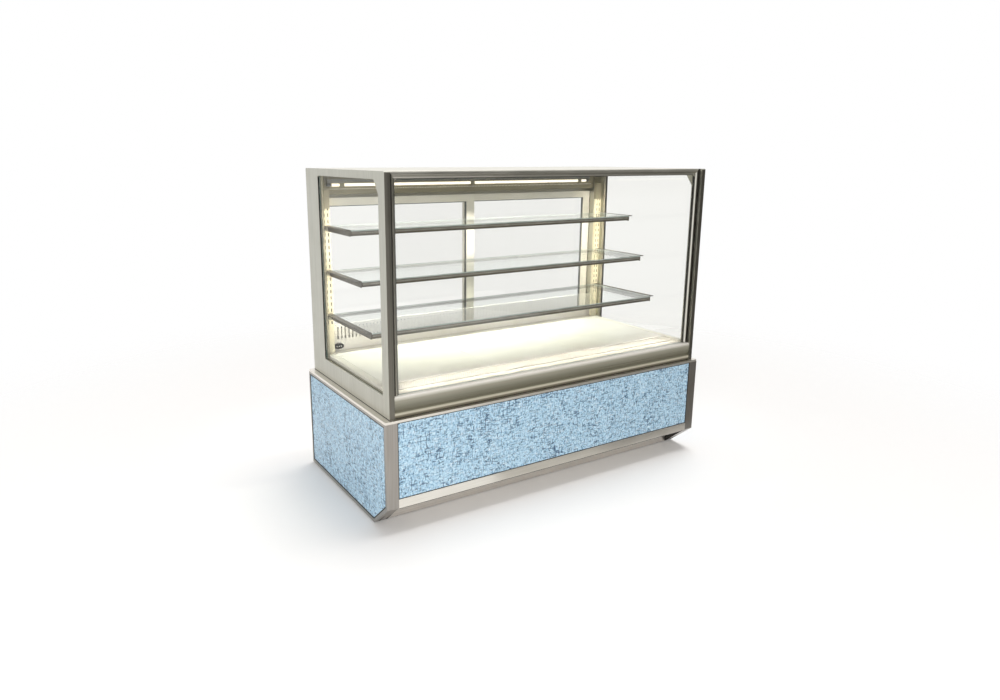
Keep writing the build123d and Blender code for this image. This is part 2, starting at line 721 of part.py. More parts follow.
# Copper lines with the filter drier, ends butted against what they join
with BuildPart() as lines:
    stub_end = COMPRESSOR_RADIUS - STUB_SINK + STUB_LENGTH
    out_x = COMPRESSOR_X + stub_end
    in_x = COMPRESSOR_X - stub_end
    run_x = out_x + DISCHARGE_RUN
    coil_x = CONDENSER_X[0]
    suction_x, suction_y = SUCTION_RISER
    liquid_x, liquid_y = LIQUID_RISER
    copper(
        (
            (out_x, COMPRESSOR_Y, STUB_OUT_Z),
            (run_x, COMPRESSOR_Y, STUB_OUT_Z),
            (run_x, DRIER_Y, STUB_OUT_Z),
            (coil_x, DRIER_Y, STUB_OUT_Z),
        ),
        LIQUID_RADIUS,
    )
    copper(
        (
            (in_x, COMPRESSOR_Y, STUB_IN_Z),
            (suction_x, suction_y, STUB_IN_Z),
            (suction_x, suction_y, SUCTION_Z),
            (suction_x, 0, SUCTION_Z),
            (EVAPORATOR_X[0], 0, SUCTION_Z),
        ),
        SUCTION_RADIUS,
    )
    rod(Plane(origin=(coil_x, DRIER_Y, DRIER_Z), z_dir=(-1, 0, 0)), LIQUID_RADIUS, coil_x - DRIER_X[1])
    rod(Plane(origin=(DRIER_X[0], DRIER_Y, DRIER_Z), z_dir=(1, 0, 0)), DRIER_RADIUS, DRIER_X[1] - DRIER_X[0])
    copper(
        (
            (DRIER_X[0], DRIER_Y, DRIER_Z),
            (liquid_x, DRIER_Y, DRIER_Z),
            (liquid_x, liquid_y, DRIER_Z),
            (liquid_x, liquid_y, LIQUID_Z),
            (liquid_x, LIQUID_Y, LIQUID_Z),
            (EVAPORATOR_X[0], LIQUID_Y, LIQUID_Z),
        ),
        LIQUID_RADIUS,
    )
save(lines, "refrigerant_lines")

# Shallow pan that catches the defrost water
with BuildPart() as condensate_pan:
    pan_z = (FLOOR_TOP, FLOOR_TOP + CONDENSATE_HEIGHT)
    bar(CONDENSATE_X, CONDENSATE_Y, pan_z)
    bar(
        (CONDENSATE_X[0] + SHEET, CONDENSATE_X[1] - SHEET),
        (CONDENSATE_Y[0] + SHEET, CONDENSATE_Y[1] - SHEET),
        (pan_z[0] + SHEET, pan_z[1]),
        Mode.SUBTRACT,
    )
save(condensate_pan, "condensate_pan")

# Electrical box with a lapped lid
with BuildPart() as electrical_box:
    bar(BOX_X, BOX_Y, (FLOOR_TOP, FLOOR_TOP + BOX_HEIGHT))
    lid_y = (BOX_Y[0] - SHEET, BOX_Y[0] + LID_SKIRT)
    lid_z = (FLOOR_TOP + LID_GAP, FLOOR_TOP + BOX_HEIGHT + SHEET)
    bar((BOX_X[0] - SHEET, BOX_X[1] + SHEET), lid_y, lid_z)
save(electrical_box, "electrical_box")

# Gland in the service panel where a supply cord would enter
GLAND_START = CHASSIS_BACK + SHEET + GLAND_NUT - GLAND_LENGTH
with BuildPart() as gland:
    rod(towards_rear(GLAND_X, GLAND_START, GLAND_Z), GLAND_SHANK, GLAND_LENGTH - GLAND_NUT)
    with BuildSketch(towards_rear(GLAND_X, CHASSIS_BACK + SHEET, GLAND_Z)) as nut:
        RegularPolygon(GLAND_NUT, 6)
    extrude(nut.sketch, amount=GLAND_NUT)
    rod(towards_rear(GLAND_X, GLAND_START, GLAND_Z), GLAND_BORE, GLAND_LENGTH, Mode.SUBTRACT)
save(gland, "power_gland")

# Insulated tub: a deep part hanging in the base and a wide rim under the deck
with BuildPart() as tub:
    bar((-TUB_X, TUB_X), (TUB_FRONT, TUB_BACK), (TUB_LOW, BASE_TOP))
    bar((-INSIDE_X, INSIDE_X), (TUB_SILL_FRONT, TUB_BACK), (BASE_TOP, DECK_Z))
    pan_recess = (-DECK_X - PAN_GAP, DECK_X + PAN_GAP)
    bar(pan_recess, (TUB_SILL_FRONT, TUB_BACK), (SILL_Z, DECK_Z), Mode.SUBTRACT)
    bar((-INSIDE_X, INSIDE_X), (TUB_SILL_FRONT, LEDGE_FRONT), (SILL_Z, DECK_Z), Mode.SUBTRACT)
    cavity_y = (CAVITY_FRONT, CAVITY_BACK)
    bar((-CAVITY_X, CAVITY_X), cavity_y, (TUB_LOW + TUB_FLOOR, SILL_Z), Mode.SUBTRACT)
    for side in (-1, 1):
        crossbar = (side * CROSSBAR_X - CROSSBAR_WIDTH / 2, side * CROSSBAR_X + CROSSBAR_WIDTH / 2)
        bar(crossbar, cavity_y, (SILL_Z - CROSSBAR_HEIGHT, SILL_Z))
    for riser_x, riser_y in (SUCTION_RISER, LIQUID_RISER):
        rod(Plane(origin=(riser_x, riser_y, TUB_LOW)), RISER_HOLE, TUB_FLOOR, Mode.SUBTRACT)
save(tub, "insulated_tub")

# Plate with the evaporator fan openings, standing in the tub
with BuildPart() as fan_plate:
    plate_z = (TUB_LOW + TUB_FLOOR, SILL_Z - CROSSBAR_HEIGHT)
    bar(EVAPORATOR_X, (FAN_PLATE_Y, FAN_PLATE_Y + SHEET), plate_z)
    for side in (-1, 1):
        opening = towards_rear(side * EVAPORATOR_FAN_X, FAN_PLATE_Y, EVAPORATOR_FAN_Z)
        rod(opening, FAN_PLATE_HOLE, SHEET, Mode.SUBTRACT)
save(fan_plate, "evaporator_fan_plate")

with BuildPart() as fan_motors:
    for side in (-1, 1):
        motor_x = side * EVAPORATOR_FAN_X
        casing = towards_rear(motor_x, EVAPORATOR_MOTOR_Y[0], EVAPORATOR_FAN_Z)
        rod(casing, EVAPORATOR_MOTOR_RADIUS, EVAPORATOR_MOTOR_Y[1] - EVAPORATOR_MOTOR_Y[0])
        shaft = towards_rear(motor_x, EVAPORATOR_SHAFT_Y[0], EVAPORATOR_FAN_Z)
        rod(shaft, FAN_SHAFT, EVAPORATOR_SHAFT_Y[1] - EVAPORATOR_SHAFT_Y[0])
        foot_x = (motor_x - EVAPORATOR_FOOT_X, motor_x + EVAPORATOR_FOOT_X)
        bar(foot_x, EVAPORATOR_FOOT_Y, (TUB_LOW + TUB_FLOOR, EVAPORATOR_FOOT_TOP))
save(fan_motors, "evaporator_fan_motors")

for side, side_name in ((-1, "left"), (1, "right")):
    fan_centre = (side * EVAPORATOR_FAN_X, FAN_PLATE_Y + SHEET / 2, EVAPORATOR_FAN_Z)
    fan = axial_fan(fan_centre, EVAPORATOR_FAN_RADIUS, EVAPORATOR_FAN_HUB)
    save(fan, f"evaporator_fan_{side_name}")

# Lift-out deck pans, folded down all round
with BuildPart() as pans:
    pan_step = 2 * DECK_X / PAN_COUNT
    for index in range(PAN_COUNT):
        low_x = -DECK_X + index * pan_step
        x = (low_x + PAN_GAP / 2, low_x + pan_step - PAN_GAP / 2)
        bar(x, (PAN_FRONT, PAN_BACK), (SILL_Z, DECK_Z))
        bar(
            (x[0] + SHEET, x[1] - SHEET),
            (PAN_FRONT + SHEET, PAN_BACK - SHEET),
            (SILL_Z, DECK_Z - SHEET),
            Mode.SUBTRACT,
        )
save(pans, "deck_pans")

# Slotted air return grille along the front of the deck
with BuildPart() as grille:
    bar((-DECK_X, DECK_X), (GRILLE_FRONT, GRILLE_BACK), (SILL_Z, SILL_Z + GRILLE_THICK))
    with BuildSketch(Plane.XY.offset(SILL_Z)) as slots:
        with Locations((0, (GRILLE_FRONT + GRILLE_BACK) / 2)):
            with GridLocations(GRILLE_PITCH, 1, GRILLE_SLOTS, 1):
                Rectangle(GRILLE_PITCH - GRILLE_BAR, GRILLE_BACK - GRILLE_FRONT - 2 * GRILLE_BORDER)
    extrude(slots.sketch, amount=GRILLE_THICK, mode=Mode.SUBTRACT)
save(grille, "front_air_grille")

# Slotted air outlet panel behind the deck
with BuildPart() as air_panel:
    bar((-INSIDE_X, INSIDE_X), (AIR_PANEL_Y, AIR_PANEL_Y + SHEET), (DECK_Z, AIR_PANEL_TOP))
    bar((-DECK_X, DECK_X), (AIR_PANEL_Y, AIR_PANEL_Y + SHEET), (SILL_Z, DECK_Z))
    bar((-INSIDE_X, INSIDE_X), (AIR_PANEL_Y, TRACK_FRONT), (AIR_PANEL_TOP, AIR_PANEL_TOP + SHEET))
    with BuildSketch(Plane.XZ.offset(-AIR_PANEL_Y - SHEET)) as slots:
        with Locations((0, (AIR_SLOT_LOW + AIR_SLOT_TOP) / 2)):
            with GridLocations(AIR_SLOT_PITCH, 1, AIR_SLOTS, 1):
                Rectangle(AIR_SLOT_WIDTH, AIR_SLOT_TOP - AIR_SLOT_LOW)
    extrude(slots.sketch, amount=SHEET, mode=Mode.SUBTRACT)
save(air_panel, "rear_air_panel")


def window_outline():
    """The end frame's window: a rectangle with its top front corner cut by the gusset."""
    with BuildSketch(Plane.YZ) as outline:
        with BuildLine():
            Polyline(
                (WINDOW_FRONT, WINDOW_LOW),
                (WINDOW_REAR, WINDOW_LOW),
                (WINDOW_REAR, WINDOW_TOP),
                (WINDOW_FRONT + GUSSET_Y, WINDOW_TOP),
                (WINDOW_FRONT, WINDOW_TOP - GUSSET_Z),
                close=True,
            )
        make_face()
    return outline.sketch_local


def window_slab(grow, x, mode=Mode.ADD):
    """The window outline grown by an offset and extruded between two X limits."""
    with BuildSketch(Plane.YZ.offset(x[0])) as outline:
        add(window_outline())
        offset(amount=grow, kind=Kind.INTERSECTION)
    extrude(outline.sketch, amount=x[1] - x[0], mode=mode)


def end_frame(side):
    """An end frame with its window, the glass groove and the hinge bore."""
    with BuildPart() as frame:
        x = span(side, INSIDE_X, CABINET_X)
        bar(x, (CABINET_FRONT, CABINET_BACK), (BASE_TOP, HEIGHT))
        fillet(frame.edges().filter_by(Axis.X).group_by(Axis.Z)[-1], radius=FRAME_RADIUS)
        window_slab(WINDOW_EASE, x, Mode.SUBTRACT)
        groove = span(side, GROOVE_OUT, GROOVE_OUT - END_GLASS - GASKET)
        window_slab(GROOVE_DEEP, groove, Mode.SUBTRACT)
        bore = Plane(origin=(side * INSIDE_X, HINGE_Y, HINGE_Z), z_dir=(side, 0, 0))
        rod(bore, HINGE_PIN + PIN_CLEAR, HINGE_BORE, Mode.SUBTRACT)
    return frame


save(end_frame(-1), "end_frame_left")
save(end_frame(1), "end_frame_right")

with BuildPart() as end_glass:
    for side in (-1, 1):
        window_slab(GLASS_BITE, span(side, GROOVE_OUT, GROOVE_OUT - END_GLASS))
save(end_glass, "end_glass_panes")

with BuildPart() as gaskets:
    for side in (-1, 1):
        bead = span(side, GROOVE_OUT - END_GLASS, GROOVE_OUT - END_GLASS - GASKET)
        window_slab(GLASS_BITE, bead)
        window_slab(-GASKET, bead, Mode.SUBTRACT)
save(gaskets, "end_glass_gaskets")

# Roof panel with a folded front lip behind the hinge line
ROOF_FRONT = HINGE_Y + HINGE_RADIUS + ROOF_GAP
with BuildPart() as roof:
    bar((-INSIDE_X, INSIDE_X), (ROOF_FRONT, CABINET_BACK), (ROOF_LOW, HEIGHT))
    bar((-INSIDE_X, INSIDE_X), (ROOF_FRONT, ROOF_FRONT + ROOF_THICK), (GLASS_RAIL_LOW, ROOF_LOW))
    roof_fold_x = (-INSIDE_X + ROOF_FOLD, INSIDE_X - ROOF_FOLD)
    roof_fold_y = (ROOF_FRONT + ROOF_THICK, CABINET_BACK - ROOF_FOLD)
    bar(roof_fold_x, roof_fold_y, (ROOF_LOW, HEIGHT - SHEET), Mode.SUBTRACT)
save(roof, "top_panel")

# Rear header, a box section over the sliding doors
with BuildPart() as header:
    bar((-INSIDE_X, INSIDE_X), (HEADER_FRONT, CABINET_BACK), (HEADER_LOW, ROOF_LOW))
    bar(
        (-INSIDE_X, INSIDE_X),
        (HEADER_FRONT + HEADER_WALL, CABINET_BACK - HEADER_WALL),
        (HEADER_LOW + HEADER_WALL, ROOF_LOW - HEADER_WALL),
        Mode.SUBTRACT,
    )
save(header, "rear_header")

# Lower front rail, an extrusion with a stepped foot, a lip, a full face and a round nose
with BuildPart() as front_rail:
    with BuildSketch(Plane.YZ.offset(-INSIDE_X)) as section:
        with BuildLine():
            step = (CABINET_FRONT, RAIL_FACE_LOW)
            lip_top = (CABINET_FRONT, RAIL_FACE_LOW + RAIL_FLAT)
            land = (CABINET_FRONT + RAIL_LEAN, RAIL_FACE_LOW + RAIL_FLAT + RAIL_LAND_RISE)
            belly = (CABINET_FRONT + RAIL_BELLY, RAIL_FACE_LOW + RAIL_BELLY_RISE)
            Polyline(step, lip_top, land)
            ThreePointArc(land, belly, (CABINET_FRONT, SILL_Z - RAIL_NOSE))
            CenterArc((CABINET_FRONT + RAIL_NOSE, SILL_Z - RAIL_NOSE), RAIL_NOSE, 90, 90)
            Polyline(
                (CABINET_FRONT + RAIL_NOSE, SILL_Z),
                (CABINET_FRONT + RAIL_DEEP, SILL_Z),
                (CABINET_FRONT + RAIL_DEEP, BASE_TOP),
                (CABINET_FRONT + RAIL_LIP, BASE_TOP),
                (CABINET_FRONT + RAIL_LIP, RAIL_FACE_LOW),
                step,
            )
        make_face()
    extrude(section.sketch, amount=2 * INSIDE_X)
    hollow_y = (CABINET_FRONT + RAIL_LEAN + RAIL_WALL, CABINET_FRONT + RAIL_DEEP - RAIL_BACK_WALL)
    bar((-INSIDE_X, INSIDE_X), hollow_y, (BASE_TOP + RAIL_WALL, SILL_Z - RAIL_WALL), Mode.SUBTRACT)
save(front_rail, "lower_front_rail")

# Insulated rear wall under the doors, with openings for the two controls
with BuildPart() as rear_wall:
    bar((-INSIDE_X, INSIDE_X), (REAR_WALL_FRONT, REAR_WALL_BACK), (BASE_TOP, REAR_WALL_TOP))
    knob_hole = towards_rear(KNOB_X, REAR_WALL_BACK - KNOB_HOLE_DEEP, CONTROL_Z)
    rod(knob_hole, KNOB_SHAFT + PIN_CLEAR, KNOB_HOLE_DEEP, Mode.SUBTRACT)
    pocket_x = SWITCH_WIDTH / 2 + SWITCH_GAP
    pocket_z = SWITCH_HEIGHT / 2 + SWITCH_GAP
    bar(
        (SWITCH_X - pocket_x, SWITCH_X + pocket_x),
        (REAR_WALL_BACK - SWITCH_POCKET, REAR_WALL_BACK),
        (CONTROL_Z - pocket_z, CONTROL_Z + pocket_z),
        Mode.SUBTRACT,
    )
save(rear_wall, "rear_wall")


# Slotted uprights in the rear corners
def slot_heights():
    """Heights of the slot centres in an upright."""
    return [SLOT_FIRST + SLOT_PITCH * row for row in range(SLOT_ROWS)]


with BuildPart() as uprights:
    for side in (-1, 1):
        x = span(side, INSIDE_X - UPRIGHT_WIDTH, INSIDE_X)
        y = (UPRIGHT_FRONT, UPRIGHT_FRONT + UPRIGHT_DEEP)
        bar(x, y, (DECK_Z, UPRIGHT_TOP))
        bar(
            (x[0] + SHEET, x[1] - SHEET),
            (y[0] + SHEET, y[1]),
            (DECK_Z, UPRIGHT_TOP),
            Mode.SUBTRACT,
        )
        centre = side * (INSIDE_X - UPRIGHT_WIDTH / 2)
        with BuildSketch(Plane.XZ.offset(-UPRIGHT_FRONT - SHEET)) as slots:
            with Locations([(centre, z) for z in slot_heights()]):
                with GridLocations(SLOT_SPREAD, 1, 2, 1):
                    Rectangle(SLOT_WIDTH, SLOT_HEIGHT)
        extrude(slots.sketch, amount=SHEET, mode=Mode.SUBTRACT)
save(uprights, "shelf_uprights")


def led_box(top, front):
    """Limits of the light strip let into the underside of a shelf's front rail."""
    start = front + SHELF_SETBACK + LED_INSET
    low = top - SHELF_RAIL_LOW
    return ((-LED_X, LED_X), (start, start + LED_WIDTH), (low, low + SHELF_SHEET))


def shelf_frame(top, front):
    """Two side arms with hooks, a front rail and a rear rail, welded together."""
    with BuildPart() as frame:
        for side in (-1, 1):
            y = (front + SHELF_SETBACK, UPRIGHT_FRONT)
            bar(span(side, SHELF_ARM_X, SHELF_OUT_X), y, (top - SHELF_SHEET, top))
            bar(span(side, SHELF_ARM_X, SHELF_ARM_X + SHELF_SHEET), y, (top - SHELF_ARM, top))
            ledge_z = (top - SHELF_GLASS - SHELF_SHEET, top - SHELF_GLASS)
            bar(span(side, SHELF_ARM_X - SHELF_LEDGE, SHELF_ARM_X), (y[0], SHELF_BACK), ledge_z)
            hook_x = span(side, SHELF_ARM_X, SHELF_ARM_X + SHELF_SHEET)
            for z in slot_heights():
                if top - SHELF_ARM < z - HOOK_HEIGHT / 2 and z + HOOK_HEIGHT / 2 < top:
                    hook_z = (z - HOOK_HEIGHT / 2, z + HOOK_HEIGHT / 2)
                    bar(hook_x, (UPRIGHT_FRONT, UPRIGHT_FRONT + HOOK_DEEP), hook_z)
        across = (-SHELF_ARM_X, SHELF_ARM_X)
        rail_y = (front + SHELF_SETBACK, front + SHELF_SETBACK + SHELF_RAIL_DEEP)
        bar(across, rail_y, (top - SHELF_RAIL_LOW, top - SHELF_GLASS))
        rear_rail_z = (top - SHELF_REAR_RAIL_LOW, top - SHELF_GLASS)
        bar(across, (SHELF_BACK - SHELF_RAIL_DEEP, SHELF_BACK), rear_rail_z)
        bar(*led_box(top, front), Mode.SUBTRACT)
    return frame


def shelf_glass(top, front):
    """A glass shelf with softened long edges."""
    with BuildPart() as glass:
        width = SHELF_ARM_X - SHELF_GLASS_GAP
        bar((-width, width), (front, SHELF_BACK), (top - SHELF_GLASS, top))
        chamfer(glass.edges().filter_by(Axis.X), length=GLASS_EDGE)
    return glass


for index, (top, front) in enumerate(zip(SHELF_TOPS, SHELF_FRONTS), start=1):
    save(shelf_frame(top, front), f"shelf_{index}_frame")
    save(shelf_glass(top, front), f"shelf_{index}_glass")

with BuildPart() as leds:
    for top, front in zip(SHELF_TOPS, SHELF_FRONTS):
        bar(*led_box(top, front))
save(leds, "shelf_led_strips")

# Lamp tube with end caps, and the channel that carries it
with BuildPart() as lamp:
    rod(Plane(origin=(-LAMP_HALF, LAMP_Y, LAMP_Z), z_dir=(1, 0, 0)), LAMP_RADIUS, 2 * LAMP_HALF)
save(lamp, "lamp_tube")

with BuildPart() as lamp_channel:
    lamp_x = (-LAMP_HALF, LAMP_HALF)
    bar(lamp_x, LAMP_CHANNEL_Y, LAMP_CHANNEL_Z)
    hollow_y = (LAMP_CHANNEL_Y[0] + SHEET, LAMP_CHANNEL_Y[1] - SHEET)
    hollow_z = (LAMP_CHANNEL_Z[0] + SHEET, LAMP_CHANNEL_Z[1] - SHEET)
    bar(lamp_x, hollow_y, hollow_z, Mode.SUBTRACT)
    for clip in (-LAMP_CLIP_X, 0, LAMP_CLIP_X):
        clip_x = (clip - LAMP_CLIP_WIDTH / 2, clip + LAMP_CLIP_WIDTH / 2)
        bar(clip_x, LAMP_CHANNEL_Y, (LAMP_Z - LAMP_CLIP_DROP, LAMP_CHANNEL_Z[0]))
    bore = Plane(origin=(-LAMP_HALF, LAMP_Y, LAMP_Z), z_dir=(1, 0, 0))
    rod(bore, LAMP_RADIUS + LAMP_CLEAR, 2 * LAMP_HALF, Mode.SUBTRACT)
save(lamp_channel, "lamp_channel")

# Oval thermometer on the air panel
with BuildPart() as thermometer:
    with BuildSketch(Plane.XZ.offset(-AIR_PANEL_Y)) as dial:
        with Locations((DIAL_X, DIAL_Z)):
            Ellipse(DIAL_LONG / 2, DIAL_TALL / 2)
    extrude(dial.sketch, amount=DIAL_DEEP)
    chamfer(thermometer.faces().sort_by(Axis.Y)[0].edges(), length=DIAL_BEVEL)
save(thermometer, "thermometer")

# Front glass frame: a top rail and two stiles, grooved for the glass
with BuildPart() as glass_frame:
    across = (-GLASS_FRAME_X, GLASS_FRAME_X)
    with BuildSketch(Plane.YZ.offset(-GLASS_FRAME_X)) as rail:
        with BuildLine():
            nose = (GLASS_FRONT, GLASS_RAIL_NOSE)
            Polyline(
                (HINGE_Y + HINGE_RADIUS, HINGE_Z),
                (HINGE_Y + HINGE_RADIUS, GLASS_RAIL_LOW),
                (GLASS_FRONT + GLASS_STEP, GLASS_RAIL_LOW),
                (GLASS_FRONT + GLASS_STEP, GLASS_RAIL_LOW + GLASS_RAIL_UNDER),
                nose,
                (GLASS_FRONT, HEIGHT),
                (HINGE_Y, HEIGHT),
            )
            RadiusArc((HINGE_Y, HEIGHT), (HINGE_Y + HINGE_RADIUS, HINGE_Z), HINGE_RADIUS)
        make_face()
    extrude(rail.sketch, amount=2 * GLASS_FRAME_X)
    for side in (-1, 1):
        stile_middle = GLASS_FRAME_X - GLASS_STILE_OUTER
        stile_outer = span(side, stile_middle, GLASS_FRAME_X)
        stile_inner = span(side, GLASS_FRAME_X - GLASS_STILE, stile_middle)
        bar(stile_outer, (GLASS_FRONT, HINGE_Y), (GLASS_LOW, GLASS_RAIL_NOSE))
        bar(stile_inner, (GLASS_FRONT + GLASS_STEP, HINGE_Y), (GLASS_LOW, GLASS_RAIL_LOW))
        pin_hole = Plane(origin=(side * GLASS_FRAME_X, HINGE_Y, HINGE_Z), z_dir=(-side, 0, 0))
        rod(pin_hole, HINGE_PIN, PIN_BITE, Mode.SUBTRACT)
    glass_reach = GLASS_FRAME_X - GLASS_STILE + GLASS_GROOVE
    glass_y = (GLASS_Y, GLASS_Y + GLASS_THICK)
    bar((-glass_reach, glass_reach), glass_y, (GLASS_LOW, GLASS_RAIL_LOW + GLASS_GROOVE), Mode.SUBTRACT)
save(glass_frame, "front_glass_frame")

with BuildPart() as front_glass:
    pane_x = glass_reach - GLASS_GAP
    bar((-pane_x, pane_x), glass_y, (GLASS_LOW, GLASS_RAIL_LOW + GLASS_GROOVE - GLASS_GAP))
    chamfer(front_glass.edges().filter_by(Axis.X).group_by(Axis.Z)[0], length=GLASS_EDGE)
save(front_glass, "front_glass_pane")

with BuildPart() as hinge_pins:
    for side in (-1, 1):
        pin = Plane(origin=(side * (GLASS_FRAME_X - PIN_BITE), HINGE_Y, HINGE_Z), z_dir=(side, 0, 0))
        rod(pin, HINGE_PIN, PIN_BITE + INSIDE_X - GLASS_FRAME_X + PIN_REACH)
save(hinge_pins, "front_glass_hinge_pins")

# Top and bottom door tracks, the same finned section turned over
with BuildPart() as tracks:
    for base_z, base_top, fin_low, fin_top in (
        (REAR_WALL_TOP, REAR_WALL_TOP + TRACK_BASE, REAR_WALL_TOP, REAR_WALL_TOP + TRACK_HEIGHT),
        (HEADER_LOW - TRACK_BASE, HEADER_LOW, HEADER_LOW - TRACK_HEIGHT, HEADER_LOW),
    ):
        track_y = (TRACK_FRONT, TRACK_FRONT + 2 * TRACK_LANE + 3 * TRACK_FIN)
        bar((-INSIDE_X, INSIDE_X), track_y, (base_z, base_top))
        for lane in range(3):
            fin_y = TRACK_FRONT + lane * (TRACK_LANE + TRACK_FIN)
            bar((-INSIDE_X, INSIDE_X), (fin_y, fin_y + TRACK_FIN), (fin_low, fin_top))
save(tracks, "door_tracks")


def door_span(side):
    """Low and high X of a closed door that overlaps the middle."""
    return span(side, -DOOR_OVERLAP, INSIDE_X - DOOR_SIDE_GAP)


def door_lane(lane):
    """Front and back Y of a door in its lane of the track."""
    front = TRACK_FRONT + TRACK_FIN + DOOR_PLAY + lane * (TRACK_LANE + TRACK_FIN)
    return (front, front + DOOR_THICK)


def door_glass_box(side, lane, clearance):
    """Limits of a door's glass, or of its groove when the clearance is nil."""
    x = door_span(side)
    y = door_lane(lane)
    bite = DOOR_STILE - GLASS_GROOVE + clearance
    middle = (y[0] + y[1]) / 2
    return (
        (x[0] + bite, x[1] - bite),
        (middle - DOOR_GLASS / 2, middle + DOOR_GLASS / 2),
        (DOOR_LOW + bite, DOOR_TOP - bite),
    )


def door_frame(side, lane):
    """Four mitred rails grooved for the glass, with a finger pull in the side stile."""
    with BuildPart() as frame:
        x = door_span(side)
        y = door_lane(lane)
        bar(x, y, (DOOR_LOW, DOOR_TOP))
        bar(
            (x[0] + DOOR_STILE, x[1] - DOOR_STILE),
            y,
            (DOOR_LOW + DOOR_STILE, DOOR_TOP - DOOR_STILE),
            Mode.SUBTRACT,
        )
        bar(*door_glass_box(side, lane, 0), Mode.SUBTRACT)
        pull_x = side * (INSIDE_X - DOOR_SIDE_GAP - DOOR_STILE / 2 + DOOR_PULL_SHIFT)
        pull_z = (DOOR_LOW + DOOR_TOP) / 2
        with BuildSketch(towards_rear(pull_x, y[1] - DOOR_PULL_DEEP, pull_z)) as pull:
            SlotOverall(DOOR_PULL_HEIGHT, DOOR_PULL_WIDTH, rotation=90)
        extrude(pull.sketch, amount=DOOR_PULL_DEEP, mode=Mode.SUBTRACT)
    return frame


def door_glass(side, lane):
    """The pane that sits in a door's groove."""
    with BuildPart() as glass:
        bar(*door_glass_box(side, lane, GLASS_GAP))
    return glass


for side, side_name, lane in ((-1, "left", 0), (1, "right", 1)):
    save(door_frame(side, lane), f"rear_door_{side_name}_frame")
    save(door_glass(side, lane), f"rear_door_{side_name}_glass")

# Thermostat knob with a grip bar and a shaft in the rear wall
with BuildPart() as knob:
    knob_face = REAR_WALL_BACK + KNOB_GAP
    rod(towards_rear(KNOB_X, knob_face, CONTROL_Z), KNOB_RADIUS, KNOB_LENGTH / 2)
    bar(
        (KNOB_X - KNOB_GRIP, KNOB_X + KNOB_GRIP),
        (knob_face, knob_face + KNOB_LENGTH),
        (CONTROL_Z - KNOB_RADIUS + KNOB_GRIP_INSET, CONTROL_Z + KNOB_RADIUS - KNOB_GRIP_INSET),
    )
    rod(towards_rear(KNOB_X, REAR_WALL_BACK - KNOB_SHAFT_IN, CONTROL_Z), KNOB_SHAFT, KNOB_SHAFT_LENGTH)
save(knob, "thermostat_knob")

# Rocker switch, drawn pressed in at its lower end
SWITCH_PIVOT_Y = REAR_WALL_BACK - SWITCH_SINK
with BuildPart() as rocker:
    tilt = math.radians(SWITCH_TILT)
    tilted = Plane(
        origin=(SWITCH_X - SWITCH_WIDTH / 2, SWITCH_PIVOT_Y, CONTROL_Z),
        x_dir=(0, math.cos(tilt), math.sin(tilt)),
        z_dir=(1, 0, 0),
    )
    with BuildSketch(tilted) as section:
        with BuildLine():
            Polyline(
                (SWITCH_ROOT, -SWITCH_HEIGHT / 2 + SWITCH_TAPER),
                (SWITCH_CREST, -SWITCH_HEIGHT / 2 + SWITCH_EASE),
                (SWITCH_WAIST, 0),
                (SWITCH_CREST, SWITCH_HEIGHT / 2 - SWITCH_EASE),
                (SWITCH_ROOT, SWITCH_HEIGHT / 2 - SWITCH_TAPER),
                close=True,
            )
        make_face()
    extrude(section.sketch, amount=SWITCH_WIDTH)
save(rocker, "light_switch_rocker")
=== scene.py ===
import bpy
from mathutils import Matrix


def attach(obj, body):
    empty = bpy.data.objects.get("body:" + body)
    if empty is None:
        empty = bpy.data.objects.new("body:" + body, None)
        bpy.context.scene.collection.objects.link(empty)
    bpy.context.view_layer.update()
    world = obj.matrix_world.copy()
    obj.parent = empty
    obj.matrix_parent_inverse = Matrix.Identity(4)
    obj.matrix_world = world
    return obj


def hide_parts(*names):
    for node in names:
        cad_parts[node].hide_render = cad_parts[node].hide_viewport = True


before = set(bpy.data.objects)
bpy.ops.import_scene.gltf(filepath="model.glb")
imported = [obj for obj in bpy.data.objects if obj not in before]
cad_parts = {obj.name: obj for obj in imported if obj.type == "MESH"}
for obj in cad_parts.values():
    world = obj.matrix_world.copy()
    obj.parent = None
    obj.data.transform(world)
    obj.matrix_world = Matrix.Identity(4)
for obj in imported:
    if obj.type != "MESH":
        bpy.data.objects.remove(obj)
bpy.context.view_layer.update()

import logging
import math
from dataclasses import dataclass
from enum import Enum
from typing import Callable, List, Optional, Sequence, Tuple, Union

import bmesh
import bpy
from mathutils import Vector

LOG = logging.getLogger("display_case")
MM = 0.001
WHITE = "#FFFFFF"

# Noise seldom leaves this band, so a tone or a gloss is stretched between its ends.
NOISE_BAND = (0.3, 0.7)
# A noise's offset moves it unevenly along X, Y and Z, so that no two noises line up.
NOISE_DRIFT = (1.0, 1.7, 2.3)
# Vertices of a node's mesh that are closer than this, in metres, are one.
WELD_REACH = 0.00001
# Edges of a node that turn by more than this many degrees are softened.
SOFTENED_ANGLE = 35.0
# Edges of a new piece that turn by more than this many degrees stay sharp.
CREASE_ANGLE = 32.0
# Sockets of the mix node that carry colours; their names repeat, so they go by number.
MIX_SHARE, MIX_FIRST, MIX_SECOND, MIX_RESULT = 0, 6, 7, 2

Point = Tuple[float, float, float]
Flat = Tuple[float, float]
Limits = Tuple[float, float]
Ring = List[Point]
Stops = Sequence[Tuple[float, str]]
Tree = bpy.types.NodeTree
Socket = bpy.types.NodeSocket
Material = bpy.types.Material
Dressing = Union[Material, Sequence[Material]]
Tone = Union[Socket, Tuple[float, float, float, float]]


class Axis(Enum):
    """A direction along which a profile runs or a surface is brushed."""

    X = 0
    Y = 1
    Z = 2


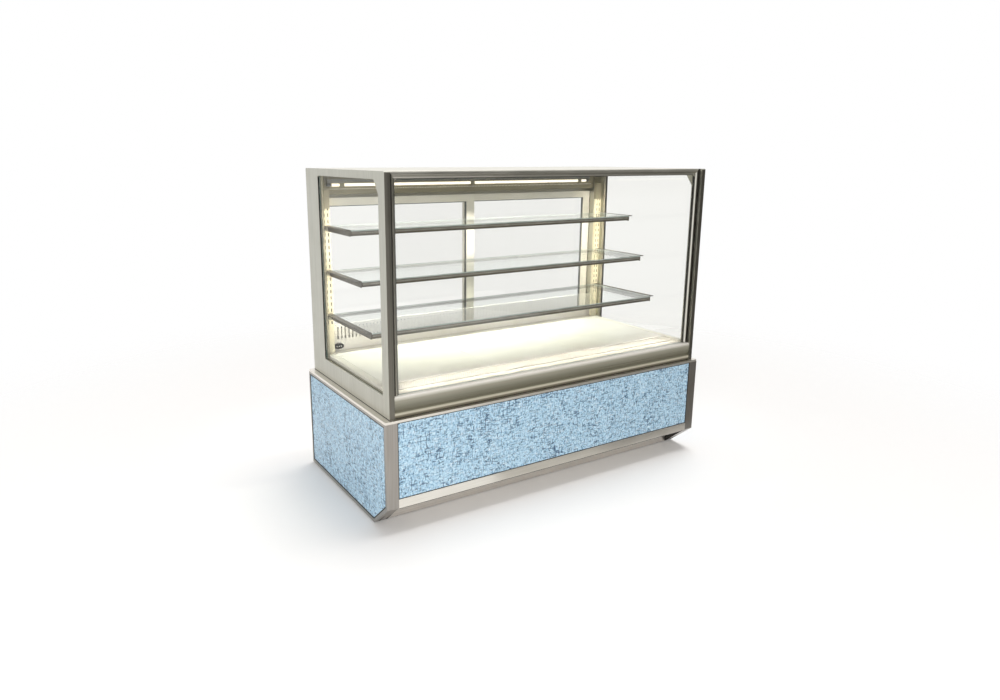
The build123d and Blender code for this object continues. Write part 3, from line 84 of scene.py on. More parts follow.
def linear(colour: str) -> Tuple[float, float, float, float]:
    """Turn an sRGB hex colour into linear RGBA.

    Args:
        colour: six hex digits after a hash.

    Returns:
        Red, green, blue and an alpha of one.
    """
    parts = [int(colour[i : i + 2], 16) / 255 for i in (1, 3, 5)]
    parts = [p / 12.92 if p <= 0.04045 else ((p + 0.055) / 1.055) ** 2.4 for p in parts]
    return (parts[0], parts[1], parts[2], 1.0)


def place(axis: Axis, u: float, v: float, along: float) -> Point:
    """Put a flat profile point into space.

    Args:
        axis: direction the profile runs along.
        u: first profile coordinate.
        v: second profile coordinate.
        along: distance along the axis.

    Returns:
        The point in the frame, in the units given.
    """
    if axis is Axis.X:
        return (along, u, v)
    if axis is Axis.Y:
        return (u, along, v)
    return (u, v, along)


def add_node(tree: Tree, kind: str, inputs: Optional[dict] = None, **settings) -> bpy.types.Node:
    """Add one shader node with its settings and links.

    Args:
        tree: node tree that takes the node.
        kind: type name of the node.
        inputs: socket name or number to a value or to an output to link from.
        settings: attributes of the node.

    Returns:
        The new node.
    """
    node = tree.nodes.new(kind)
    for key, value in settings.items():
        setattr(node, key, value)
    for socket, value in (inputs or {}).items():
        if isinstance(value, Socket):
            tree.links.new(value, node.inputs[socket])
        else:
            node.inputs[socket].default_value = value
    return node


def blank_material(name: str) -> Tuple[Material, Tree]:
    """Make a material with an empty node tree.

    Args:
        name: name of the material.

    Returns:
        The material and its node tree.
    """
    material = bpy.data.materials.new(name)
    material.use_nodes = True
    material.node_tree.nodes.clear()
    return material, material.node_tree


def ramp(tree: Tree, factor: Socket, stops: Stops) -> Socket:
    """Turn a factor into a colour along a few stops.

    Args:
        tree: node tree of the material.
        factor: output that picks the colour.
        stops: positions and hex colours.

    Returns:
        The colour output.
    """
    node = add_node(tree, "ShaderNodeValToRGB", {"Fac": factor})
    band = node.color_ramp.elements
    while len(band) < len(stops):
        band.new(0.5)
    for element, (position, colour) in zip(band, stops):
        element.position = position
        element.color = linear(colour)
    return node.outputs["Color"]


def noise(tree: Tree, size: Sequence[float], detail: float = 2.0, shift: float = 0.0) -> Socket:
    """Noise whose grains have real sizes along the three axes.

    Args:
        tree: node tree of the material.
        size: grain size along X, Y and Z in millimetres.
        detail: how many finer layers are added.
        shift: offset in metres, so that two noises differ.

    Returns:
        The factor output of the noise.
    """
    spot = add_node(tree, "ShaderNodeTexCoord").outputs["Object"]
    grid = [1.0 / (s * MM) for s in size]
    offset = [shift * drift for drift in NOISE_DRIFT]
    mapping = add_node(tree, "ShaderNodeMapping", {"Vector": spot, "Scale": grid, "Location": offset})
    settings = {"Vector": mapping.outputs["Vector"], "Scale": 1.0, "Detail": detail}
    node = add_node(tree, "ShaderNodeTexNoise", settings)
    return node.outputs["Fac"]


def stretch(tree: Tree, value: Socket, source: Limits, target: Limits) -> Socket:
    """Map a value from one span to another and hold it at the ends.

    Args:
        tree: node tree of the material.
        value: output to map.
        source: the span it comes in.
        target: the span it leaves in.

    Returns:
        The mapped value.
    """
    inputs = {"Value": value}
    inputs.update({"From Min": source[0], "From Max": source[1], "To Min": target[0], "To Max": target[1]})
    return add_node(tree, "ShaderNodeMapRange", inputs).outputs["Result"]


def mix_colour(tree: Tree, factor: Socket, first: Tone, second: Tone, blend: str = "MIX") -> Socket:
    """Mix two colours by a factor.

    Args:
        tree: node tree of the material.
        factor: share of the second colour.
        first: colour output or linear colour.
        second: colour output or linear colour.
        blend: how the second is laid over the first.

    Returns:
        The mixed colour.
    """
    inputs = {MIX_SHARE: factor, MIX_FIRST: first, MIX_SECOND: second}
    node = add_node(tree, "ShaderNodeMix", inputs, data_type="RGBA", blend_type=blend)
    return node.outputs[MIX_RESULT]


def opaque(
    tree: Tree, tone: Socket, gloss: Socket, height: Socket, depth: float, metallic: float = 0.0
) -> None:
    """Close a material with an opaque surface.

    Args:
        tree: node tree of the material.
        tone: its colour.
        gloss: its roughness.
        height: relief between zero and one.
        depth: relief depth in millimetres.
        metallic: one for bare metal.
    """
    relief = add_node(tree, "ShaderNodeBump", {"Height": height, "Distance": depth * MM, "Strength": 1.0})
    inputs = {"Base Color": tone, "Metallic": metallic, "Roughness": gloss}
    inputs["Normal"] = relief.outputs["Normal"]
    shader = add_node(tree, "ShaderNodeBsdfPrincipled", inputs)
    add_node(tree, "ShaderNodeOutputMaterial", {"Surface": shader.outputs["BSDF"]})


def seen_rays(tree: Tree) -> Socket:
    """Tell the rays that look at a surface from the soft light that it gives.

    Args:
        tree: node tree of the material or the world.

    Returns:
        One for a ray from the camera, off a gloss or through glass, and zero for the rest.
    """
    rays = add_node(tree, "ShaderNodeLightPath").outputs
    seen = rays["Is Camera Ray"]
    for way in ("Is Glossy Ray", "Is Transmission Ray"):
        seen = add_node(tree, "ShaderNodeMath", {0: seen, 1: rays[way]}, operation="MAXIMUM").outputs[0]
    return seen


@dataclass(frozen=True)
class BrushedMetal:
    """Rolled or extruded metal with a fine line grain, satin rather than mirror bright."""

    name: str
    pale: str
    deep: str
    grain: Axis
    roughness: float = 0.36
    line: float = 2.4
    relief: float = 0.006
    run: float = 260.0

    def make(self) -> Material:
        """Build the material.

        Returns:
            A metal whose lines follow the grain and whose gloss varies as if handled.
        """
        material, tree = blank_material(self.name)
        size = [self.line] * 3
        size[self.grain.value] = self.run
        lines = noise(tree, size, 3.0)
        smudges = noise(tree, (90.0, 90.0, 90.0), 2.0, 3.1)
        tone = ramp(tree, lines, ((0.3, self.deep), (0.7, self.pale)))
        gloss = stretch(tree, smudges, NOISE_BAND, (self.roughness - 0.05, self.roughness + 0.06))
        opaque(tree, tone, gloss, lines, self.relief, metallic=1.0)
        return material


@dataclass(frozen=True)
class CoatedMetal:
    """Powder coated sheet: even colour, soft gloss and a faint orange peel."""

    name: str
    pale: str
    deep: str
    roughness: float = 0.42
    peel: float = 3.0
    relief: float = 0.03

    def make(self) -> Material:
        """Build the material.

        Returns:
            A coat with slow changes of tone and a fine peel.
        """
        material, tree = blank_material(self.name)
        clouds = noise(tree, (140.0, 140.0, 140.0), 3.0)
        peel = noise(tree, [self.peel] * 3, 1.0, 1.3)
        tone = ramp(tree, clouds, ((0.32, self.deep), (0.62, self.pale)))
        gloss = stretch(tree, peel, NOISE_BAND, (self.roughness - 0.04, self.roughness + 0.05))
        opaque(tree, tone, gloss, peel, self.relief)
        return material


@dataclass(frozen=True)
class RailCoat:
    """Champagne coat on the front rail, with a painted highlight on its round nose and lip and painted shade
    down its face.
    """

    name: str
    low: float
    high: float
    painted_light_stops: Tuple[Tuple[float, str], ...]
    roughness: float = 0.3
    streak: str = "#E8E4D8"

    def make(self) -> Material:
        """Build the material.

        Returns:
            A coat whose tone follows its height.
        """
        material, tree = blank_material(self.name)
        lines = noise(tree, (260.0, 3.0, 3.0), 3.0)
        spot = add_node(tree, "ShaderNodeTexCoord")
        parts = add_node(tree, "ShaderNodeSeparateXYZ", {0: spot.outputs["Object"]})
        rise = stretch(tree, parts.outputs["Z"], (self.low * MM, self.high * MM), (0.0, 1.0))
        stops = [((z - self.low) / (self.high - self.low), tone) for z, tone in self.painted_light_stops]
        shade = stretch(tree, lines, NOISE_BAND, (0.0, 0.3))
        streaked = mix_colour(tree, shade, ramp(tree, rise, stops), linear(self.streak), "MULTIPLY")
        gloss = stretch(tree, lines, NOISE_BAND, (self.roughness - 0.04, self.roughness + 0.05))
        opaque(tree, streaked, gloss, lines, 0.01)
        return material


@dataclass(frozen=True)
class MouldedPlastic:
    """Moulded plastic or rubber with a spark-eroded grain."""

    name: str
    pale: str
    deep: str
    roughness: float = 0.5
    grit: float = 1.2
    relief: float = 0.02

    def make(self) -> Material:
        """Build the material.

        Returns:
            A dull surface with an even grit.
        """
        material, tree = blank_material(self.name)
        grit = noise(tree, [self.grit] * 3, 2.0)
        wear = noise(tree, (35.0, 35.0, 35.0), 3.0, 2.2)
        tone = ramp(tree, wear, ((0.35, self.deep), (0.65, self.pale)))
        gloss = stretch(tree, grit, NOISE_BAND, (self.roughness - 0.06, self.roughness + 0.08))
        opaque(tree, tone, gloss, grit, self.relief)
        return material


@dataclass(frozen=True)
class LinenLaminate:
    """Printed high pressure laminate with a linen weave, drawn coarser than life so that it shows."""

    name: str
    deep: str = "#7FA6C4"
    mid: str = "#ABCFE5"
    pale: str = "#CBE7F5"
    navy: str = "#153F66"
    white: str = "#F2FAFF"
    thread_long: float = 22.0
    thread_wide: float = 5.5
    speck: float = 7.0

    def threads(self, tree: Tree, upright: bool, shift: float) -> Socket:
        """Noise drawn out along one way of the weave.

        Args:
            tree: node tree of the material.
            upright: along Z rather than across.
            shift: offset, so that two sets differ.

        Returns:
            The noise factor.
        """
        across = self.thread_wide if upright else self.thread_long
        tall = self.thread_long if upright else self.thread_wide
        return noise(tree, (across, across, tall), 3.0, shift)

    def make(self) -> Material:
        """Build the material.

        Returns:
            A satin laminate with navy and white threads both ways.
        """
        material, tree = blank_material(self.name)
        speck = noise(tree, [self.speck] * 3, 3.0)
        tone = ramp(tree, speck, ((0.34, self.deep), (0.47, self.mid), (0.64, self.pale)))
        bands = noise(tree, (40.0, 40.0, 110.0), 2.0, 5.2)
        for upright, shift in ((False, 0.7), (True, 1.9)):
            light = stretch(tree, self.threads(tree, upright, shift + 3.0), (0.58, 0.7), (0.0, 0.5))
            tone = mix_colour(tree, light, tone, linear(self.white))
        clustered = stretch(tree, bands, NOISE_BAND, (0.15, 1.0))
        for upright, shift in ((False, 0.2), (True, 2.6)):
            dark = stretch(tree, self.threads(tree, upright, shift), (0.55, 0.62), (0.0, 0.9))
            inked = add_node(tree, "ShaderNodeMath", {0: dark, 1: clustered}, operation="MULTIPLY")
            tone = mix_colour(tree, inked.outputs[0], tone, linear(self.navy))
        knots = stretch(tree, noise(tree, [self.speck * 1.2] * 3, 1.0, 7.7), (0.66, 0.72), (0.0, 0.8))
        tone = mix_colour(tree, knots, tone, linear(self.navy))
        opaque(tree, tone, stretch(tree, speck, NOISE_BAND, (0.36, 0.46)), speck, 0.02)
        return material


@dataclass(frozen=True)
class FloatGlass:
    """Polished float glass: clear through its faces and green along its cut edges."""

    name: str
    faces: Axis
    tint: str = "#FEFEFD"
    edge: str = "#8FA8A4"
    face_on: float = 0.035
    glancing: float = 0.9
    edge_pale: str = "#C3CCC8"
    falloff: float = 5.0

    def make(self) -> Material:
        """Build the material.

        Returns:
            A thin pane that mirrors more at a slant and lets lamps through.
        """
        material, tree = blank_material(self.name)
        facing = add_node(tree, "ShaderNodeLayerWeight", {"Blend": 0.5}).outputs["Facing"]
        steep = add_node(tree, "ShaderNodeMath", {0: facing, 1: self.falloff}, operation="POWER")
        terms = {0: steep.outputs[0], 1: self.glancing, 2: self.face_on}
        share = add_node(tree, "ShaderNodeMath", terms, operation="MULTIPLY_ADD")
        clear = add_node(tree, "ShaderNodeBsdfTransparent", {"Color": linear(self.tint)})
        mirror = add_node(tree, "ShaderNodeBsdfAnisotropic", {"Color": linear(WHITE), "Roughness": 0.02})
        layers = {0: share.outputs[0], 1: clear.outputs[0], 2: mirror.outputs[0]}
        pane = add_node(tree, "ShaderNodeMixShader", layers)
        waves = noise(tree, (40.0, 40.0, 40.0), 2.0)
        green = ramp(tree, waves, ((0.35, self.edge), (0.65, self.edge_pale)))
        body = add_node(tree, "ShaderNodeBsdfPrincipled", {"Base Color": green, "Roughness": 0.12})
        normal = add_node(tree, "ShaderNodeTexCoord").outputs["Normal"]
        way = add_node(tree, "ShaderNodeSeparateXYZ", {0: normal}).outputs[self.faces.value]
        size = add_node(tree, "ShaderNodeMath", {0: way}, operation="ABSOLUTE")
        rim = add_node(tree, "ShaderNodeMath", {0: size.outputs[0], 1: 0.5}, operation="LESS_THAN")
        layers = {0: rim.outputs[0], 1: pane.outputs[0], 2: body.outputs[0]}
        whole = add_node(tree, "ShaderNodeMixShader", layers)
        add_node(tree, "ShaderNodeOutputMaterial", {"Surface": whole.outputs[0]})
        return material


@dataclass(frozen=True)
class FrostedLamp:
    """Lit opal glass or diffuser: a soft white that glows evenly."""

    name: str
    glow: str = "#FFFBF0"
    strength: float = 1.05
    shade: str = "#FFF4DC"

    def make(self) -> Material:
        """Build the material.

        Returns:
            A faintly uneven glowing surface.
        """
        material, tree = blank_material(self.name)
        milk = noise(tree, (30.0, 12.0, 12.0), 2.0)
        tone = ramp(tree, milk, ((0.3, self.shade), (0.7, self.glow)))
        inputs = {"Base Color": tone, "Roughness": 0.3}
        inputs.update({"Emission Color": tone, "Emission Strength": self.strength})
        shader = add_node(tree, "ShaderNodeBsdfPrincipled", inputs)
        add_node(tree, "ShaderNodeOutputMaterial", {"Surface": shader.outputs["BSDF"]})
        return material


@dataclass(frozen=True)
class StudioPaper:
    """Matt white paper sweep that keeps a soft shadow and fades into the backdrop."""

    name: str = "studio_paper_sweep"
    inner: float = 1.6
    outer: float = 3.4
    lift: float = 0.06
    deep: str = "#F8F6F4"
    pale: str = "#FBF9F7"

    def make(self) -> Material:
        """Build the material.

        Returns:
            Paper that is white where nothing shades it.
        """
        material, tree = blank_material(self.name)
        fibre = noise(tree, (3.0, 3.0, 3.0), 3.0)
        tone = ramp(tree, fibre, ((0.3, self.deep), (0.7, self.pale)))
        paper = add_node(tree, "ShaderNodeBsdfDiffuse", {"Color": tone})
        level = add_node(tree, "ShaderNodeMath", {0: seen_rays(tree), 1: self.lift}, operation="MULTIPLY")
        glow = add_node(tree, "ShaderNodeEmission", {"Color": linear(WHITE), "Strength": level.outputs[0]})
        both = add_node(tree, "ShaderNodeAddShader", {0: paper.outputs[0], 1: glow.outputs[0]})
        spot = add_node(tree, "ShaderNodeTexCoord").outputs["Object"]
        reach = add_node(tree, "ShaderNodeVectorMath", {0: spot}, operation="LENGTH").outputs["Value"]
        span = {"Value": reach, "From Min": self.inner, "From Max": self.outer}
        fade = add_node(tree, "ShaderNodeMapRange", span, interpolation_type="SMOOTHSTEP")
        gone = add_node(tree, "ShaderNodeBsdfTransparent")
        layers = {0: fade.outputs[0], 1: both.outputs[0], 2: gone.outputs[0]}
        sweep = add_node(tree, "ShaderNodeMixShader", layers)
        add_node(tree, "ShaderNodeOutputMaterial", {"Surface": sweep.outputs[0]})
        return material


@dataclass(frozen=True)
class GreyCard:
    """Plain grey card of the studio, whose tone comes in softly from one side."""

    name: str
    grey: str
    fade: float = 0.0

    def make(self) -> Material:
        """Build the material.

        Returns:
            A card that gives back its own grey, whatever light falls on it.
        """
        material, tree = blank_material(self.name)
        spot = add_node(tree, "ShaderNodeTexCoord").outputs["Generated"]
        along = add_node(tree, "ShaderNodeSeparateXYZ", {0: spot}).outputs["X"]
        span = {"Value": along, "From Min": -0.001, "From Max": self.fade}
        depth = add_node(tree, "ShaderNodeMapRange", span, interpolation_type="SMOOTHSTEP")
        tone = mix_colour(tree, depth.outputs["Result"], linear(WHITE), linear(self.grey))
        glow = add_node(tree, "ShaderNodeEmission", {"Color": tone, "Strength": 1.0})
        add_node(tree, "ShaderNodeOutputMaterial", {"Surface": glow.outputs[0]})
        return material


class Finishes:
    """Every finish of the case, made once and shared by the pieces."""

    def __init__(self) -> None:
        """Make the materials."""
        # Satin anodised aluminium: warm grey, drawn lines along the extrusion, soft highlights.
        self.frame_upright = BrushedMetal(
            "satin_anodised_aluminium_upright", "#C3C2B7", "#B2B1A6", Axis.Z
        ).make()
        self.frame_across = BrushedMetal(
            "satin_anodised_aluminium_across", "#D3D0C6", "#C2BFB5", Axis.X
        ).make()
        # Darker copies of the same aluminium, as painted shade: the front frame, the top rail's bevel, the
        # end frames' edge strips and, darkest, the stiles' outer faces.
        self.frame_painted_shade = BrushedMetal("satin_anodised_aluminium_stile", "#A8A69E", "#96948C", Axis.Z).make()
        self.rail_bevel_painted_shade = BrushedMetal("satin_anodised_rail_bevel", "#A6A39A", "#96938A", Axis.X).make()
        self.front_edge_painted_shade = BrushedMetal("anodised_edge_strip_painted_shade", "#807D74", "#6E6B62", Axis.Z, 0.4).make()
        self.stile_painted_shade = BrushedMetal("anodised_stile_face_painted_shade", "#4E4C46", "#403E39", Axis.Z, 0.38).make()
        # A paler copy of the same aluminium, as a painted highlight on the stiles' bevels and the gussets.
        self.stile_painted_highlight = BrushedMetal(
            "anodised_stile_bevel_painted_highlight", "#E9E7DC", "#DAD8CC", Axis.Z, 0.34
        ).make()
        # Brushed stainless sheet: cooler and a little glossier, with lines along the fold.
        self.steel_upright = BrushedMetal(
            "brushed_stainless_upright", "#ABA6A0", "#9B968F", Axis.Z, 0.34
        ).make()
        self.steel_edge = BrushedMetal("brushed_stainless_edging", "#AFACA6", "#9D9A93", Axis.Y, 0.36).make()
        # Paler copies of the stainless: painted light on the top and bottom trims and on the toe kick.
        self.trim_painted_light = BrushedMetal("brushed_stainless_trim", "#F1ECE3", "#E4DFD5", Axis.X, 0.34).make()
        self.toe_kick_painted_light = BrushedMetal(
            "brushed_stainless_kick_plate", "#EAE5DF", "#DAD5CE", Axis.X, 0.4
        ).make()
        # Blasted stainless: pale and dull, with no line grain.
        self.grille_steel = CoatedMetal("bead_blasted_stainless", "#EFEBE1", "#E3DED2", 0.4, 1.5).make()
        # Hot dip zinc: dull grey with a faint spangle, and a brighter plate on the small parts.
        self.zinc = BrushedMetal(
            "galvanised_sheet", "#B2B5B7", "#A4A7AA", Axis.X, 0.5, 14.0, 0.01, 18.0
        ).make()
        self.bolt_zinc = BrushedMetal("zinc_plated_steel", "#A9ACB0", "#85888C", Axis.Z, 0.35, 1.5).make()
        # Champagne coat: a painted highlight over the nose and the lip, and painted shade down the face.
        self.rail_coat = RailCoat(
            "champagne_rail_coat",
            413.0,
            490.0,
            (
                (413.0, "#6E6857"),
                (424.0, "#7C7664"),
                (428.0, "#C9C3AF"),
                (433.0, "#B0AA97"),
                (436.0, "#68644F"),
                (455.0, "#777464"),
                (476.0, "#9B9888"),
                (484.0, "#D5D0C5"),
                (489.0, "#F4F0E8"),
            ),
        ).make()
        # Powder coats and enamel: even colour with a soft gloss and a faint peel.
        self.cream = CoatedMetal("cream_powder_coat", "#F8F4EC", "#F2EDE3").make()
        self.door_cream = CoatedMetal("cream_coated_door_frame", "#F8F5EB", "#F0EDE0").make()
        self.roof_cream = CoatedMetal("pale_roof_powder_coat", "#EDEADE", "#E9E6D9").make()
        self.upright_cream = CoatedMetal("cream_upright_coat", "#E0DAC2", "#D2CBB0").make()
        self.taupe = CoatedMetal("taupe_powder_coat", "#5F5A4C", "#4E493D", 0.4).make()
        self.header_taupe = CoatedMetal("taupe_header_coat", "#928D79", "#8D8875", 0.5).make()
        self.foam = CoatedMetal("foam_filled_shell_coat", "#F3EFE4", "#EAE5D8", 0.5).make()
        self.enamel = CoatedMetal("black_enamel_casting", "#1B1B1C", "#121213", 0.3, 5.0, 0.06).make()
        # Laminate shows its weave, glass is clear through its faces, and lamps glow evenly.
        self.laminate = LinenLaminate("printed_linen_laminate").make()
        self.front_glass = FloatGlass("clear_float_glass_front", Axis.Y).make()
        self.end_glass = FloatGlass("clear_float_glass_end", Axis.X, face_on=0.015, glancing=0.2).make()
        self.shelf_glass = FloatGlass("polished_edge_shelf_glass", Axis.Z, "#FAFCFB", "#A3B0AB").make()
        self.lamp = FrostedLamp("frosted_lamp_tube").make()
        self.diffuser = FrostedLamp("strip_light_diffuser", "#FFFDF5", 0.9).make()
        # Rubbers and moulded plastics: dull, with a fine grit.
        self.rubber = MouldedPlastic("extruded_black_rubber", "#2C2B28", "#1F1E1C", 0.62).make()
        self.pale_rubber = MouldedPlastic("extruded_grey_rubber", "#A8A391", "#989383", 0.6).make()
        self.rail_grey = MouldedPlastic("moulded_grey_rail_strip", "#837F76", "#726E65", 0.42).make()
        self.black_plastic = MouldedPlastic("moulded_black_abs", "#242424", "#191919", 0.42).make()
        self.fan_plastic = MouldedPlastic("glass_filled_black_nylon", "#2A2A2C", "#1D1D1F", 0.5).make()
        self.grey_plastic = MouldedPlastic("moulded_grey_abs", "#6F7274", "#5E6163", 0.46).make()
        self.strip_grey = MouldedPlastic("moulded_pale_grey_dash", "#AFADA5", "#9F9D95", 0.4).make()
        self.white_plastic = MouldedPlastic("moulded_white_abs", "#F3F2EC", "#E8E6DC", 0.4).make()
        # Drawn copper is warm and glossy, and rolled fins show as fine upright lines.
        self.copper = BrushedMetal("drawn_copper_tube", "#D08A62", "#A8613F", Axis.X, 0.3, 8.0).make()
        self.fins = BrushedMetal(
            "rolled_aluminium_fins", "#D3D6D8", "#AEB2B5", Axis.Z, 0.42, 1.6, 0.05
        ).make()


def rectangle(u: Limits, v: Limits) -> List[Flat]:
    """Corners of a rectangle.

    Args:
        u: limits along the first coordinate.
        v: limits along the second.

    Returns:
        The four corners in order.
    """
    return [(u[0], v[0]), (u[1], v[0]), (u[1], v[1]), (u[0], v[1])]


def mirrored(side: int, one: float, other: float) -> Limits:
    """Limits along X on one side of the middle.

    Args:
        side: -1 left, 1 right.
        one: distance from the middle to one end.
        other: distance from the middle to the other end.

    Returns:
        The limits, the lower one first.
    """
    return (min(side * one, side * other), max(side * one, side * other))


class Kit:
    """Gathers faces in millimetres and turns them into one piece."""

    def __init__(self) -> None:
        """Start with no faces."""
        self.mesh = bmesh.new()
        self.slot = 0

    def loft(
        self,
        rings: Sequence[Ring],
        caps: bool = True,
        looped: bool = False,
        slots: Sequence[int] = (),
    ) -> None:
        """Join rings of equal length into a skin.

        Args:
            rings: point rings in order.
            caps: close the first and last ring.
            looped: join the last ring to the first.
            slots: material slot of each side, where the sides differ.
        """
        rows = [[self.mesh.verts.new(p) for p in ring] for ring in rings]
        count = len(rows[0])
        pairs = list(zip(rows, rows[1:])) + ([(rows[-1], rows[0])] if looped else [])
        for one, two in pairs:
            for i in range(count):
                j = (i + 1) % count
                face = self.mesh.faces.new((one[i], one[j], two[j], two[i]))
                face.material_index = slots[i] if slots else self.slot
        if caps and not looped:
            for row in (rows[0], rows[-1]):
                self.mesh.faces.new(row).material_index = self.slot

    def prism(self, outline: Sequence[Flat], axis: Axis, span: Limits) -> None:
        """Run a flat outline along an axis.

        Args:
            outline: profile points.
            axis: direction of the run.
            span: start and end along the axis.
        """
        self.loft([[place(axis, u, v, end) for u, v in outline] for end in span])

    def block(self, x: Limits, y: Limits, z: Limits, soft: float = 0.6) -> None:
        """A block whose edges are rounded.

        Args:
            x: limits along X.
            y: limits along Y.
            z: limits along Z.
            soft: edge radius.
        """
        old = set(self.mesh.edges)
        self.prism(rectangle(x, y), Axis.Z, z)
        if soft:
            fresh = [edge for edge in self.mesh.edges if edge not in old]
            bmesh.ops.bevel(
                self.mesh, geom=fresh, offset=soft, segments=2, profile=0.5, affect="EDGES", material=-1
            )

    def lathe(self, profile: Sequence[Flat], centre: Point, axis: Axis, steps: int = 40) -> None:
        """Turn a profile about an axis.

        Args:
            profile: radius and distance along the axis, from one end to the other.
            centre: point on the axis.
            axis: the turning axis.
            steps: faces round the turn.
        """
        rings = []
        for radius, along in profile:
            ring = []
            for i in range(steps):
                turn = 2 * math.pi * i / steps
                spot = place(axis, radius * math.cos(turn), radius * math.sin(turn), along)
                ring.append(tuple(c + s for c, s in zip(centre, spot)))
            rings.append(ring)
        self.loft(rings)

    def piece(
        self,
        name: str,
        body: str,
        finishes: Dressing,
        replaces: Sequence[str] = (),
    ) -> bpy.types.Object:
        """Make the object, and say where it rides and what it stands for.

        Args:
            name: name of the piece.
            body: CAD body it rides on.
            finishes: one material, or one for each face slot.
            replaces: CAD nodes it stands for.

        Returns:
            The new object.
        """
        bmesh.ops.recalc_face_normals(self.mesh, faces=self.mesh.faces)
        bmesh.ops.scale(self.mesh, vec=(MM, MM, MM), verts=self.mesh.verts)
        limit = math.radians(CREASE_ANGLE)
        for edge in self.mesh.edges:
            edge.smooth = len(edge.link_faces) == 2 and edge.calc_face_angle(0.0) < limit
        for face in self.mesh.faces:
            face.smooth = True
        data = bpy.data.meshes.new(name)
        self.mesh.to_mesh(data)
        self.mesh.free()
        for material in finishes if isinstance(finishes, (list, tuple)) else (finishes,):
            data.materials.append(material)
        item = bpy.data.objects.new(name, data)
        bpy.context.scene.collection.objects.link(item)
        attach(item, body)
        if replaces:
            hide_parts(*replaces)
        LOG.info("%s: %d faces, rides on %s", name, len(data.polygons), body)
        return item


def dress(node: str, finish: Material, soft: float = 0.6) -> bpy.types.Object:
    """Give a CAD node its finish and soften its edges.

    Args:
        node: name of the CAD node.
        finish: material for all its faces.
        soft: edge radius in millimetres, or zero to leave the edges.

    Returns:
        The node's object.
    """
    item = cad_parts[node]
    for holder in item.material_slots:
        holder.material = finish
    if soft:
        weld = item.modifiers.new("weld", "WELD")
        weld.merge_threshold = WELD_REACH
        edge = item.modifiers.new("edge", "BEVEL")
        edge.width = soft * MM
        edge.segments = 2
        edge.limit_method = "ANGLE"
        edge.angle_limit = math.radians(SOFTENED_ANGLE)
        edge.harden_normals = False
        even = item.modifiers.new("even", "WEIGHTED_NORMAL")
        even.keep_sharp = True
    LOG.info("%s: dressed in %s", node, finish.name)
    return item


def inset(points: Sequence[Flat], distance: float) -> List[Flat]:
    """Move the sides of a convex outline inwards.

    Args:
        points: corners in order.
        distance: how far each side moves.

    Returns:
        The corners of the smaller outline.
    """
    middle = Vector((sum(p[0] for p in points), sum(p[1] for p in points))) / len(points)
    lines = []
    for i, start in enumerate(points):
        a, b = Vector(start), Vector(points[(i + 1) % len(points)])
        normal = Vector((-(b - a).y, (b - a).x)).normalized()
        if (middle - a).dot(normal) < 0:
            normal.negate()
        lines.append((a + normal * distance, (b - a).normalized()))
    result = []
    for i, (base, way) in enumerate(lines):
        other, other_way = lines[i - 1]
        cross = other_way.x * way.y - other_way.y * way.x
        gap = base - other
        reach = (gap.x * way.y - gap.y * way.x) / cross
        corner = other + other_way * reach
        result.append((corner.x, corner.y))
    return result


def arc(centre: Flat, radius: float, start: float, end: float, steps: int) -> List[Flat]:
    """Points along an arc.

    Args:
        centre: middle of the arc.
        radius: its radius.
        start: first angle in degrees.
        end: last angle in degrees.
        steps: number of stretches.

    Returns:
        The points in order.
    """
    turns = [math.radians(start + (end - start) * i / steps) for i in range(steps + 1)]
    return [(centre[0] + radius * math.cos(t), centre[1] + radius * math.sin(t)) for t in turns]


def perforated(
    kit: Kit,
    x: Limits,
    across: Limits,
    pitch: Flat,
    hole: Flat,
    lay: Callable[[float, float, float], Point],
    thick: float,
) -> None:
    """A sheet with staggered six-sided holes.

    Args:
        kit: takes the faces.
        x: limits along the length.
        across: limits across the sheet.
        pitch: hole spacing along and across.
        hole: half length and half width of a hole.
        lay: puts a point (along, across, height) into space.
        thick: sheet thickness.
    """
    rows = max(1, round((across[1] - across[0]) / pitch[1]))
    step = (across[1] - across[0]) / rows
    for row in range(rows):
        low = across[0] + row * step
        high = low + step
        stagger = pitch[0] / 2 if row % 2 else 0.0
        count = int((x[1] - x[0] - stagger) / pitch[0])
        starts = [x[0] + stagger + pitch[0] * i for i in range(count)]
        ends = [(x[0], starts[0])] if stagger else []
        ends.append((starts[-1] + pitch[0], x[1]))
        for a, b in ends:
            if b - a > 0.01:
                ring = rectangle((a, b), (low, high))
                kit.loft([[lay(u, v, h) for u, v in ring] for h in (0.0, thick)])
        for a in starts:
            mid, half, b = a + pitch[0] / 2, (low + high) / 2, a + pitch[0]
            outer = [(a, low), (mid, low), (b, low), (b, high), (mid, high), (a, high)]
            inner = [
                (mid - hole[0], half - hole[1] / 2),
                (mid, half - hole[1]),
                (mid + hole[0], half - hole[1] / 2),
                (mid + hole[0], half + hole[1] / 2),
                (mid, half + hole[1]),
                (mid - hole[0], half + hole[1] / 2),
            ]
            order = (inner, outer, outer, inner)
            heights = (0.0, 0.0, thick, thick)
            rings = [[lay(u, v, h) for u, v in ring] for ring, h in zip(order, heights)]
            kit.loft(rings, caps=False, looped=True)


